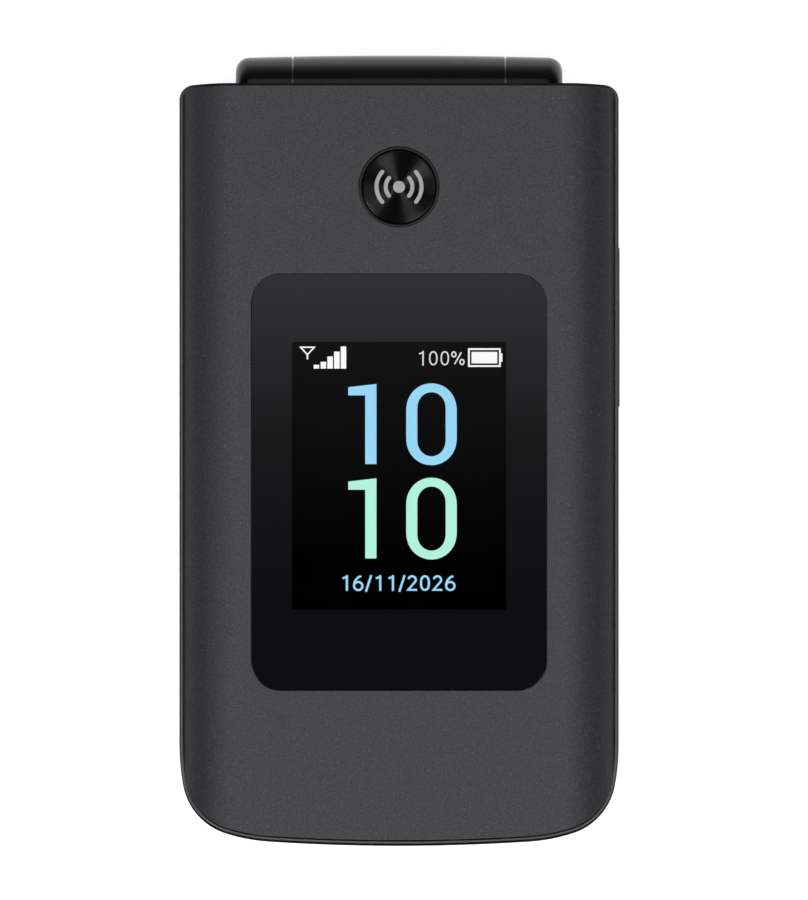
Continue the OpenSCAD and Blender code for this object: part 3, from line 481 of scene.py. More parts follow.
@dataclass(frozen=True)
class WhiteCard(Finish):
    """White card of the studio, whose own light shows only to the camera and in gloss and glass."""

    colour: Colour = (0.3, 0.3, 0.3)
    glow: float = 0.94

    def build(self, shader: ShaderTree) -> None:
        """Adds the light that keeps the card white and leaves a faint shadow on it."""
        rays = shader.add("ShaderNodeLightPath").outputs
        seen = rays["Is Camera Ray"]
        for name in ("Is Glossy Ray", "Is Transmission Ray"):
            seen = shader.math("MAXIMUM", seen, rays[name])
        shader.set(Base_Color=(*self.colour, 1), Roughness=0.9, Specular_IOR_Level=0.0,
                   Emission_Color=(*WHITE, 1), Emission_Strength=shader.span(seen, 0.0, self.glow))


@dataclass(frozen=True)
class Board(Finish):
    """Circuit board with tracks under its green lacquer."""

    lacquers: tuple[Colour, Colour] = ((0.012, 0.07, 0.032), (0.016, 0.09, 0.04))
    track: Colour = (0.05, 0.2, 0.09)
    track_pitch: float = 5.0
    cloud_size: float = 1.1
    gloss: Span = (0.3, 0.45)
    track_depth: float = 0.02

    def build(self, shader: ShaderTree) -> None:
        """Adds the tracks and the pads."""
        where = shader.place()
        first, second = self.lacquers
        bricks = shader.add("ShaderNodeTexBrick", {"offset": 0.5, "squash": 0.7, "squash_frequency": 3},
                            Vector=where, Scale=1 / (self.track_pitch * MM), Mortar_Size=0.012, Bias=-0.4,
                            Color1=(*first, 1), Color2=(*second, 1), Mortar=(*self.track, 1))
        shader.set(Base_Color=bricks.outputs["Color"],
                   Roughness=shader.span(shader.noise(where, self.cloud_size, 3), *self.gloss))
        shader.relief(bricks.outputs["Fac"], strength=0.3, depth=self.track_depth)


PAINT = FleckedPaint("flecked graphite paint")
BACK_PAINT = FleckedPaint("flecked graphite paint, back", roughness=0.5)
GLOSS_BLACK = Moulding("gloss black hinge barrel", (0.0026, 0.0027, 0.003), 0.21, 0.5, 0.03, 0.12, 0.5)
RIM = Moulding("satin rim", (0.02, 0.0206, 0.0217), 0.36, 0.25, 0.06, 0.12, 0.28)
# Black strips that paint the shadow line under the rim at the free end and the shade in the groove.
PAINTED_SHADOW_STRIP = Moulding("black strip of painted shadow", (0.0036, 0.0037, 0.004), 0.5, 0.2, 0.05, 0.12, 0.08)
BASE_SHELL = Moulding("satin base shell", (0.017, 0.0173, 0.018), 0.4, 0.18, 0.16)
BEZEL = Moulding("dark bezel ring", (0.0066, 0.0068, 0.0071), 0.5, 0.12, 0.1, 0.12, 0.15)
DARK_INSIDE = Moulding("dark inside shell", (0.012, 0.0122, 0.013), 0.45, 0.16, 0.2)
KEY_PLASTIC = Moulding("satin key plastic", (0.03, 0.0305, 0.032), 0.36, 0.12, 0.08)
RING_PLASTIC = Moulding("navigation ring metal paint", (0.12, 0.121, 0.125), 0.3, 0.1, 0.06)
RUBBER = Moulding("grey rubber", (0.05, 0.05, 0.052), 0.75, 0.25, 0.3)
FOAM = Moulding("open foam", (0.02, 0.02, 0.021), 0.9, 0.35, 0.6)
NYLON = Moulding("natural nylon", (0.5, 0.49, 0.46), 0.45, 0.3, 0.1)
BLACK_NYLON = Moulding("black nylon", (0.01, 0.01, 0.011), 0.5, 0.25, 0.2)
WRAP = Moulding("battery film", (0.035, 0.038, 0.05), 0.28, 1.2, 0.08, 0.2)
WHITE_INK = Moulding("white key print", (0.62, 0.63, 0.64), 0.5, 0.1, 0.1)
GREEN_INK = Moulding("green key print", (0.03, 0.42, 0.09), 0.45, 0.1, 0.1)
RED_INK = Moulding("red key print", (0.5, 0.02, 0.018), 0.45, 0.1, 0.1)
SIGN_INK = Moulding("grey sign print", (0.3, 0.3, 0.305), 0.5, 0.1, 0.1)
STEEL = Metal("drawn steel")
TURNED = Metal("turned steel", (0.5, 0.5, 0.52), 0.26, (0.05, 1, 1))
WASHER = Metal("dark steel washer", (0.2, 0.207, 0.217), 0.22)
COPPER = Metal("gold on copper", (0.72, 0.5, 0.2), 0.32)
CARD = WhiteCard("white studio card")
BOARD = Board("circuit board")
# These glasses' prints carry a painted reflection, lighter towards the hinge end.
LENS_PRINT_AND_PAINTED_REFLECTION = GlassWithPaintedReflection("outside lens print and painted reflection")
INSIDE_GLASS = GlassWithPaintedReflection("inside lens print and painted reflection", (0.0016, 0.0017, 0.0019), (0.0008, 0.0009, 0.001))
CAMERA_GLASS = GlassWithPaintedReflection("camera window", (0.003, 0.003, 0.004), (0.001, 0.001, 0.0015), 30.0, 39.0)
CLEAR = ClearGlass("clear pane")
SCREEN = DarkScreen("dark screen")
LIT_WHITE = Lit("lit white", (0.93, 0.93, 0.93))
LIT_GREY = Lit("lit grey", (0.7, 0.7, 0.7))
LIT_BLUE = Lit("lit blue", (0.305, 0.665, 0.915))
LIT_MINT = Lit("lit mint", (0.434, 0.87, 0.716))


# ---- meshes ---------------------------------------------------------------------------------


def in_scene(name: str, data: bpy.types.ID) -> Piece:
    """Makes an object of a mesh, a lamp or a camera and puts it into the scene."""
    made = bpy.data.objects.new(name, data)
    bpy.context.scene.collection.objects.link(made)
    return made


def add_piece(name: str, mesh: Mesh, finish: Finish, body: Body | str, slot: Slot,
              stands_for: Sequence[str] = ()) -> Piece:
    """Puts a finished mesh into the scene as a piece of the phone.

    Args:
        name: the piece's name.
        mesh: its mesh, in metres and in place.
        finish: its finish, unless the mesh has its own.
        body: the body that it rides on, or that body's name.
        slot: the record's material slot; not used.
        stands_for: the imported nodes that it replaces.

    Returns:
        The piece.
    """
    carrier = body.value if isinstance(body, Body) else body
    piece = in_scene(name, mesh)
    mesh.name = name
    if not mesh.materials:
        mesh.materials.append(finish.material())
    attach(piece, carrier)
    if stands_for:
        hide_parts(*stands_for)
    LOG.info("%s: %d faces on %s", name, len(mesh.polygons), carrier)
    return piece


def make_mesh(name: str, parts: MeshParts, sharp: float = 35.0) -> Mesh:
    """Makes a closed mesh with smooth faces and sharp edges.

    Args:
        name: the mesh's name.
        parts: its points in millimetres, and its faces.
        sharp: angle in degrees from which an edge stays sharp.

    Returns:
        The mesh, in metres, with its faces outwards.
    """
    points, faces = parts
    mesh = bpy.data.meshes.new(name)
    mesh.from_pydata([[c * MM for c in p] for p in points], [], faces)
    work = bmesh.new()
    work.from_mesh(mesh)
    bmesh.ops.remove_doubles(work, verts=work.verts, dist=1e-7)
    bmesh.ops.dissolve_degenerate(work, edges=work.edges, dist=1e-7)
    bmesh.ops.recalc_face_normals(work, faces=work.faces)
    work.to_mesh(mesh)
    work.free()
    return smoothed(mesh, sharp)


def smoothed(mesh: Mesh, sharp: float) -> Mesh:
    """Shades a mesh smooth, apart from its sharp edges.

    Args:
        mesh: the mesh.
        sharp: angle in degrees from which an edge stays sharp.

    Returns:
        The same mesh.
    """
    mesh.polygons.foreach_set("use_smooth", [True] * len(mesh.polygons))
    mesh.set_sharp_from_angle(angle=math.radians(sharp))
    mesh.update()
    return mesh


def evaluated(mesh: Mesh, step: Callable[[Piece], None]) -> Mesh:
    """Runs a mesh through modifiers and gives the result as a plain mesh.

    Args:
        mesh: the mesh to start from.
        step: adds the modifiers to the object that it is given.

    Returns:
        The new mesh.
    """
    helper = in_scene("helper", mesh)
    step(helper)
    bpy.context.view_layer.update()
    depsgraph = bpy.context.evaluated_depsgraph_get()
    made = bpy.data.meshes.new_from_object(helper.evaluated_get(depsgraph))
    bpy.data.objects.remove(helper)
    return made


def evened(mesh: Mesh, sharp: float = 32.0) -> Mesh:
    """Shades a mesh smooth and keeps its large flat faces flat in the shading.

    Args:
        mesh: the mesh.
        sharp: angle in degrees from which an edge stays sharp.

    Returns:
        The new mesh.
    """
    def weigh(helper: Piece) -> None:
        """Adds the modifier that gives large faces more weight."""
        modifier = helper.modifiers.new("weighted", "WEIGHTED_NORMAL")
        modifier.mode = "FACE_AREA"
        modifier.keep_sharp = True

    return evaluated(smoothed(mesh, sharp), weigh)


def carve(mesh: Mesh, *cutters: MeshParts) -> Mesh:
    """Cuts closed shapes out of a mesh.

    Args:
        mesh: the closed mesh to cut.
        *cutters: points and faces of what is taken away.

    Returns:
        The cut mesh.
    """
    tools = [in_scene("cutter", make_mesh("cutter", parts)) for parts in cutters]

    def cut(helper: Piece) -> None:
        """Adds one cut after another."""
        for tool in tools:
            modifier = helper.modifiers.new("cut", "BOOLEAN")
            modifier.operation, modifier.solver, modifier.object = "DIFFERENCE", "EXACT", tool

    made = evaluated(mesh, cut)
    for tool in tools:
        bpy.data.objects.remove(tool)
    return made


def joined(*parts: MeshParts) -> MeshParts:
    """Gives one set of points and faces from several."""
    points: list[Point3] = []
    faces: list[tuple[int, ...]] = []
    for more_points, more_faces in parts:
        first = len(points)
        points += more_points
        faces += [tuple(i + first for i in face) for face in more_faces]
    return points, faces


def bands(loops: int, n: int, closed: bool) -> list[tuple[int, ...]]:
    """Gives the faces between loops of points.

    Args:
        loops: how many loops follow each other.
        n: points of each loop.
        closed: whether the last loop joins the first.

    Returns:
        Four-sided faces, by the numbers of their points.
    """
    return [(k * n + i, k * n + (i + 1) % n, (k + 1) % loops * n + (i + 1) % n, (k + 1) % loops * n + i)
            for k in range(loops if closed else loops - 1) for i in range(n)]


def arc(centre: Point, radius: float, start: float, end: float, steps: int) -> list[Point]:
    """Gives points of an arc, with both ends, for angles in degrees."""
    angles = [math.radians(start + (end - start) * i / steps) for i in range(steps + 1)]
    return [(centre[0] + radius * math.cos(a), centre[1] + radius * math.sin(a)) for a in angles]


def box(x0: float, y0: float, x1: float, y1: float) -> list[Point]:
    """Gives the corners of a rectangle from one corner to the opposite one."""
    return [(x0, y0), (x1, y0), (x1, y1), (x0, y1)]


def from_corner(corner: Point, steps: Sequence[Point]) -> list[Point]:
    """Gives the points of a small profile that is measured from a corner."""
    return [(corner[0] + u, corner[1] + v) for u, v in steps]


def revolved(profile: Sequence[Point], centre: Point = (0, 0), segments: int = 96) -> MeshParts:
    """Turns a closed profile round an upright axis.

    Args:
        profile: its points as radius and height.
        centre: the axis, as x and y.
        segments: steps round the axis.

    Returns:
        The points and faces.
    """
    points = []
    for i in range(segments):
        a = 2 * math.pi * i / segments
        points += [(centre[0] + r * math.cos(a), centre[1] + r * math.sin(a), z) for r, z in profile]
    n = len(profile)
    faces = []
    for i in range(segments):
        here, there = i * n, (i + 1) % segments * n
        for j in range(n):
            k = (j + 1) % n
            if profile[j][0] > 0 or profile[k][0] > 0:
                faces.append((here + j, there + j, there + k, here + k))
    return points, faces


def across(parts: MeshParts, axis: Point) -> MeshParts:
    """Lays an upright turned part along X, on an axis given by its y and z."""
    return [(c, a + axis[0], b + axis[1]) for a, b, c in parts[0]], parts[1]


def raised(parts: MeshParts, height: Callable[[float, float], float], thick: float) -> MeshParts:
    """Lays a shape of height 0 to 1 on a surface.

    Args:
        parts: the shape's points and faces.
        height: gives the height of the surface at a point.
        thick: how thick the shape becomes.

    Returns:
        The points and faces.
    """
    return [(x, y, height(x, y) + thick * level) for x, y, level in parts[0]], parts[1]


def extruded(outline: Sequence[Point], low: float, high: float) -> MeshParts:
    """Gives an upright prism on an outline, between two heights."""
    n = len(outline)
    points = [(x, y, low) for x, y in outline] + [(x, y, high) for x, y in outline]
    sides = [(i, (i + 1) % n, n + (i + 1) % n, n + i) for i in range(n)]
    return points, [tuple(range(n - 1, -1, -1)), tuple(range(n, 2 * n)), *sides]


def tube(outer: Sequence[Point], inner: Sequence[Point], low: float, high: float) -> MeshParts:
    """Gives an upright ring between two outlines with as many points, and two heights."""
    loops = [(outer, low), (outer, high), (inner, high), (inner, low)]
    return [(x, y, z) for loop, z in loops for x, y in loop], bands(len(loops), len(outer), True)


def half_rectangle(size: Point, radius: float, centre_y: float, inset: float, steps: int = 8) -> list[Point]:
    """Gives the right half of a rectangle with round corners about x = 0.

    Args:
        size: its width and length.
        radius: radius of its corners.
        centre_y: its middle.
        inset: distance by which it is set in.
        steps: steps round each corner.

    Returns:
        Points from the near end to the far end.
    """
    x, y, r = size[0] / 2 - radius, size[1] / 2 - radius, max(radius - inset, 0.01)
    return arc((x, centre_y - y), r, -90, 0, steps) + arc((x, centre_y + y), r, 0, 90, steps)


def full_rectangle(size: Point, radius: float, centre: Point, steps: int = 8) -> list[Point]:
    """Gives a whole rectangle with round corners about a point."""
    half = half_rectangle(size, radius, centre[1], 0, steps)
    return [(x + centre[0], y) for x, y in half] + [(centre[0] - x, y) for x, y in reversed(half)]


def crowned(half_at: Callable[[float], list[Point]], low: float, top: Callable[[float], float], edge: float,
            columns: Sequence[float], centre_x: float = 0.0, steps: int = 4) -> MeshParts:
    """Gives a closed solid with upright sides, a rounded upper edge and a face that curves across.

    Args:
        half_at: gives the right half of the outline set in by a distance, from near end to far end.
        low: height of its flat underside.
        top: gives the face's height at a distance from the middle.
        edge: radius of the upper edge.
        columns: distances from the middle at which the face gets points.
        centre_x: where its middle lies.
        steps: steps of the rounded edge.

    Returns:
        The points and faces.
    """
    def row(x_end: float, y: float) -> list[Point]:
        """Gives the points of one row inside the outline."""
        inside = sorted(c for c in columns if 0 <= c < x_end)
        return [(-c, y) for c in reversed(inside) if c > 0] + [(c, y) for c in inside]

    def ring(inset: float) -> list[Point]:
        """Gives the whole outline set in by a distance."""
        half = half_at(inset)
        return half + row(*half[-1])[::-1] + [(-x, y) for x, y in reversed(half)] + row(*half[0])

    turns = [math.pi / 2 * k / steps for k in range(steps + 1)]
    levels = [(0.0, None)] + [(edge * (1 - math.cos(a)), edge * (1 - math.sin(a))) for a in turns]
    points: list[Point3] = []
    for inset, drop in levels:
        points += [(x + centre_x, y, low if drop is None else top(abs(x)) - drop) for x, y in ring(inset)]
    n = len(points) // len(levels)
    faces = bands(len(levels), n, False)
    faces.append(tuple(range(n - 1, -1, -1)))
    spread = sorted({0.0, *columns} | {-c for c in columns})
    rows = []
    for x_end, y in half_at(edge):
        places = [-x_end] + [min(max(c, -x_end), x_end) for c in spread] + [x_end]
        rows.append(range(len(points), len(points) + len(places)))
        points += [(x + centre_x, y, top(abs(x))) for x in places]
    for lower, upper in zip(rows, rows[1:]):
        faces += [(lower[i], lower[i + 1], upper[i + 1], upper[i]) for i in range(len(lower) - 1)]
    return points, faces


class Recipe(NodeTree):
    """A tree of geometry nodes built in code, with named sizes as its inputs."""

    def __init__(self, name: str) -> None:
        """Starts the tree with its geometry sockets.

        Args:
            name: the tree's name.
        """
        super().__init__(bpy.data.node_groups.new(name, "GeometryNodeTree"))
        for way in ("INPUT", "OUTPUT"):
            self.tree.interface.new_socket("Geometry", in_out=way, socket_type="NodeSocketGeometry")
        self.source = self.add("NodeGroupInput")
        self.sink = self.add("NodeGroupOutput")
        self.values: dict[str, float] = {}

    def size(self, name: str, value: float) -> Socket:
        """Adds a named size.

        Args:
            name: the input's name.
            value: its value, in millimetres.

        Returns:
            The output that holds it inside the tree, in metres.
        """
        socket = self.tree.interface.new_socket(name, in_out="INPUT", socket_type="NodeSocketFloat")
        self.values[socket.identifier] = value * MM
        return self.source.outputs[name]

    def shape(self, kind: str, **sockets: object) -> Socket:
        """Adds a geometry node and gives its first output; takes what add takes for inputs."""
        return self.add(f"GeometryNode{kind}", **sockets).outputs[0]

    def moved(self, geometry: Socket, **how: object) -> Socket:
        """Moves, turns or stretches a shape by Translation in metres, Rotation and Scale."""
        return self.shape("Transform", Geometry=geometry, **how)

    def spread(self, points: Socket, shape: Socket, **how: object) -> Socket:
        """Puts a copy of a shape on each point, with its own Scale if it is given."""
        return self.shape("InstanceOnPoints", Points=points, Instance=shape, **how)

    def vector(self, x: object = 0.0, y: object = 0.0, z: object = 0.0) -> Socket:
        """Adds a vector of three values and gives its output."""
        return self.add("ShaderNodeCombineXYZ", X=x, Y=y, Z=z).outputs["Vector"]

    def swept(self, line: Socket, section: Socket, **how: object) -> Socket:
        """Sweeps a section along a line, with closed ends."""
        return self.shape("CurveToMesh", Curve=line, Profile_Curve=section, Fill_Caps=True, **how)

    def cut(self, body: Socket, cutter: Socket) -> Socket:
        """Adds the difference of two closed meshes and gives its output."""
        node = self.add("GeometryNodeMeshBoolean", {"operation": "DIFFERENCE", "solver": "EXACT"})
        self.fill(node, {"Mesh_1": body, "Mesh_2": cutter})
        return node.outputs["Mesh"]

    def union(self, *parts: Socket) -> Socket:
        """Adds the union of closed meshes and gives its output."""
        whole = self.add("GeometryNodeMeshBoolean", {"operation": "UNION", "solver": "EXACT"})
        for part in parts:
            self.feed(whole.inputs["Mesh 2"], part)
        return whole.outputs["Mesh"]

    def mesh(self, geometry: Socket, finish: Finish, seed: Mesh | None = None, sharp: float = 35.0) -> Mesh:
        """Ends the tree and runs it.

        Args:
            geometry: the output that holds the result.
            finish: the finish of every face.
            seed: the mesh that goes in, if the tree reads one.
            sharp: angle in degrees from which an edge stays sharp.

        Returns:
            The result as a plain mesh.
        """
        real = self.shape("RealizeInstances", Geometry=geometry)
        dressed = self.shape("SetMaterial", Geometry=real, Material=finish.material())
        self.feed(self.sink.inputs["Geometry"], dressed)

        def run(helper: Piece) -> None:
            """Adds the tree's modifier and its sizes."""
            modifier = helper.modifiers.new("recipe", "NODES")
            modifier.node_group = self.tree
            for identifier, value in self.values.items():
                modifier[identifier] = value

        return smoothed(evaluated(seed or bpy.data.meshes.new("seed"), run), sharp)


# ---- the phone ------------------------------------------------------------------------------

HINGE_AT: Point = (47.65, 10.65)  # y and z of the hinge's axis
LENS_Y = -4.15
SCREEN_Y = -3.3
BUTTON_Y = 34.52
PAST = 1.0  # how far a cut reaches past what it cuts
FINE = 128  # steps round a turned part in full view
TURNED_SHARP = 40.0  # angle in degrees from which an edge of a turned part or a key stays sharp
ALONG_X: Point3 = (0, math.pi / 2, 0)  # turns an upright shape to lie along X


@dataclass(frozen=True)
class PlanOutline:
    """Outline of the phone from above: straight sides, eased corners and a bowed free end.

    Each blend is an easing arc, given by its radius and the angle in degrees of its end.
    """

    half_w: float = 28.8
    free_y: float = -51.85
    corner_r: float = 8.15
    side_blend: Point = (27.6, 11.0)
    end_blend: Point = (23.6, 72.0)
    bow_r: float = 262.0
    hinge_corner_r: float = 2.0
    hinge_blend: Point = (50.0, 6.0)
    least_r: float = 0.05

    def half(self, inset: float, end_y: float, shift: float = 0.0) -> list[Point]:
        """Gives the right half of the outline.

        Args:
            inset: distance by which it is set in.
            end_y: where it ends towards the hinge before that.
            shift: distance by which it is moved towards the hinge.

        Returns:
            Points from the middle of the free end to the middle of the hinge end.
        """
        def step(start: Point, length: float, angle: float) -> Point:
            """Moves a point by a length, at an angle below the X axis."""
            a = math.radians(angle)
            return start[0] + length * math.cos(a), start[1] - length * math.sin(a)

        (side_r, side_a), (end_r, end_a) = self.side_blend, self.end_blend
        hinge_r, hinge_a = self.hinge_blend
        side = (self.half_w - side_r, 0.0)
        corner = step(side, side_r - self.corner_r, side_a)
        blend = step(corner, self.corner_r - end_r, end_a)
        bow_a = math.degrees(math.acos(blend[0] / (self.bow_r - end_r)))
        bow = step(blend, end_r - self.bow_r, bow_a)
        drop = self.free_y - (bow[1] - self.bow_r)
        turn = math.radians(hinge_a)
        reach = hinge_r - self.hinge_corner_r
        top = (self.half_w - self.hinge_corner_r, end_y - hinge_r + reach * math.cos(turn))
        top_bow = (top[0] - reach * math.sin(turn), top[1] - reach * math.cos(turn))
        arcs = [(bow, self.bow_r, -90, -bow_a, 10, drop),
                (blend, end_r, -bow_a, -end_a, 8, drop),
                (corner, self.corner_r, -end_a, -side_a, 26, drop),
                (side, side_r, -side_a, 0, 8, drop),
                (top, self.hinge_corner_r, 0, 90 - hinge_a, 12, 0),
                (top_bow, hinge_r, 90 - hinge_a, 90, 6, 0)]
        points: list[Point] = []
        for centre, radius, start, end, count, down in arcs:
            piece = arc((centre[0], centre[1] + down), max(radius - inset, self.least_r), start, end, count)
            touches = points and radius != self.hinge_corner_r
            points += piece[1:] if touches else piece
        points[-1] = (0.0, points[-1][1])
        points[0] = (0.0, points[0][1])
        return [(x, y + shift) for x, y in points]

    def whole(self, inset: float, end_y: float, shift: float = 0.0) -> list[Point]:
        """Gives the closed outline; takes what half takes."""
        right = self.half(inset, end_y, shift)
        return right + [(-x, y) for x, y in right[-2:0:-1]]


@dataclass
class Model:
    """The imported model, and how its plain nodes are smoothed or dressed."""

    frame: dict
    weld: float = 2e-6
    flat_angle: float = 0.2

    def refine(self, node: str, finish: Finish, slot: Slot, sharp: float = 32.0,
               cutters: Sequence[MeshParts] = ()) -> Piece:
        """Makes a smooth copy of a node, which replaces it.

        Args:
            node: the node's name.
            finish: the copy's finish.
            slot: the record's material slot.
            sharp: angle in degrees from which an edge stays sharp.
            cutters: closed shapes that are cut out of the copy.

        Returns:
            The copy, named for the node.
        """
        source = self.frame["nodes"][node]
        mesh = source.data.copy()
        mesh.materials.clear()
        work = bmesh.new()
        work.from_mesh(mesh)
        bmesh.ops.remove_doubles(work, verts=work.verts, dist=self.weld)
        bmesh.ops.dissolve_limit(work, angle_limit=math.radians(self.flat_angle), verts=work.verts,
                                 edges=work.edges)
        work.to_mesh(mesh)
        work.free()
        if cutters:
            mesh = carve(mesh, *cutters)
        return add_piece(f"smooth_{node}", evened(mesh, sharp), finish, source["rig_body"], slot, [node])

    def dress(self, finish: Finish, *nodes: str) -> None:
        """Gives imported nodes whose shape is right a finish."""
        for node in nodes:
            target = self.frame["nodes"][node]
            if not target.material_slots:
                target.data.materials.append(None)
            for place in target.material_slots:
                place.material = finish.material()
            LOG.info("%s: dressed", node)


@dataclass
class LidShell:
    """The lid: its painted cover, the frame with the rim and the inner cover."""

    outline: PlanOutline
    top_z: float = 19.2
    under_z: float = 17.7
    seat_z: float = 15.15
    end_y: float = 47.91
    inset: float = 0.465
    shift: float = 0.36
    wall: float = 1.4
    crown_r: float = 8.0
    crown_wall: float = 1.5
    flat_half: float = 21.4
    flat_columns: tuple[float, ...] = (0, 7, 14)
    edge: float = 0.03
    room_edge: float = 0.3
    lens_pocket: Point = (38.78, 54.66)
    lens_pocket_r: float = 3.9
    lens_z: float = 18.3
    window: Point = (30.43, 37.84)
    window_r: float = 1.0
    button_hole_r: float = 5.32
    barrel_half: float = 13.87
    barrel_room: Point = (4.23, 0.5)  # its radius, and the room at each end
    # The black strip that paints the shadow line at the free end: its width, its heights and its inset.
    strip_w: float = 0.33
    strip_z: Span = (14.75, 15.2)
    strip_inset: float = 0.01
    # The groove round the cover, whose floor gets a black sheet of painted shade:
    groove: Point = (0.42, 0.12)  # inset and shift of its outer line
    groove_under: float = 0.06
    groove_z: Span = (0.005, 0.03)
    far_y: float = 48.18
    far_z: Span = (10.0, 16.5)
    hair: float = 0.004  # keeps a cut off the faces that it follows
    reach: float = 3.0  # how far a cut round the outside reaches

    def crown(self, top: float, radius: float) -> Callable[[float], float]:
        """Gives the height of the rounded face at a distance from the middle."""
        def height(x: float) -> float:
            """Gives the height at one distance."""
            over = min(max(x - self.flat_half, 0.0), radius)
            return top - radius + math.sqrt(max(radius * radius - over * over, 0.0))

        return height

    def columns(self, radius: float) -> list[float]:
        """Gives the distances from the middle at which the rounded face gets points."""
        round_part = [self.flat_half + radius * math.sin(math.radians(a)) for a in range(0, 80, 3)]
        return [*self.flat_columns, *round_part]

    def side(self, inset: float) -> Callable[[float], list[Point]]:
        """Gives the half outline of a part of the cover that is set in, for any further inset."""
        return lambda further: self.outline.half(inset + further, self.end_y, self.shift)

    def cover(self) -> Piece:
        """Makes the painted cover with its rounded long sides, hollow underneath."""
        skin = crowned(self.side(self.inset), self.seat_z, self.crown(self.top_z, self.crown_r), self.edge,
                       self.columns(self.crown_r))
        inner_r = self.crown_r - self.crown_wall
        room = crowned(self.side(self.inset + self.wall), self.seat_z - PAST,
                       self.crown(self.under_z, inner_r), self.room_edge, self.columns(inner_r))
        pocket = extruded(full_rectangle(self.lens_pocket, self.lens_pocket_r, (0, LENS_Y), 16),
                          self.lens_z, self.top_z + PAST)
        window = extruded(full_rectangle(self.window, self.window_r, (0, SCREEN_Y)), self.seat_z, self.top_z)
        hole = revolved(box(0, self.seat_z, self.button_hole_r, self.top_z + PAST), (0, BUTTON_Y), FINE)
        mesh = evened(carve(make_mesh("cover", skin), room, pocket, window, hole))
        return add_piece("painted_cover", mesh, PAINT, Body.LID, Slot.PAINT, ["lid_cover"])

    def crescent(self, name: str, outer: Sequence[Point], inner: Sequence[Point], low: float,
                 high: float) -> None:
        """Makes a black strip of painted shadow, at the free end or in the groove, from what one outline has
        over another.
        """
        whole = make_mesh("strip", extruded(outer, low, high))
        strip = carve(whole, extruded(inner, low - PAST, high + PAST))
        add_piece(name, strip, PAINTED_SHADOW_STRIP, Body.LID, Slot.RIM)

    def build(self, model: Model) -> None:
        """Makes the cover and smooths the frame and the inner cover."""
        self.cover()
        room_r, margin = self.barrel_room
        room_end = self.barrel_half + margin
        barrel = across(revolved(box(0, -room_end, room_r, room_end)), HINGE_AT)
        whole = self.outline.whole
        low, high = self.strip_z
        # The rim's outer edge is cut away at the free end, and a black strip in its place paints the shadow
        # line under the lid.
        kept = whole(-self.hair, self.end_y + PAST, self.strip_w)
        free_end = tube(whole(-self.reach, self.end_y + self.reach), kept, low, high + PAST)
        hinge_end = tube(whole(-self.reach, self.far_y + self.reach), whole(-self.hair, self.far_y),
                         *self.far_z)
        model.refine("lid_frame", RIM, Slot.RIM, cutters=[barrel, free_end, hinge_end])
        self.crescent("rim_painted_shadow_strip", whole(self.strip_inset, self.end_y), kept, low, high)
        # A thin black sheet on the floor of the groove round the cover paints the groove's shade.
        far = whole(self.groove[0], self.end_y, self.groove[1])
        near = whole(self.inset - self.groove_under, self.end_y + PAST, self.shift)
        self.crescent("groove_painted_shadow_strip", far, near, *(self.seat_z + z for z in self.groove_z))
        model.refine("lid_inner_cover", DARK_INSIDE, Slot.BLACK)
        model.refine("lid_bumpers", RUBBER, Slot.FOAM)


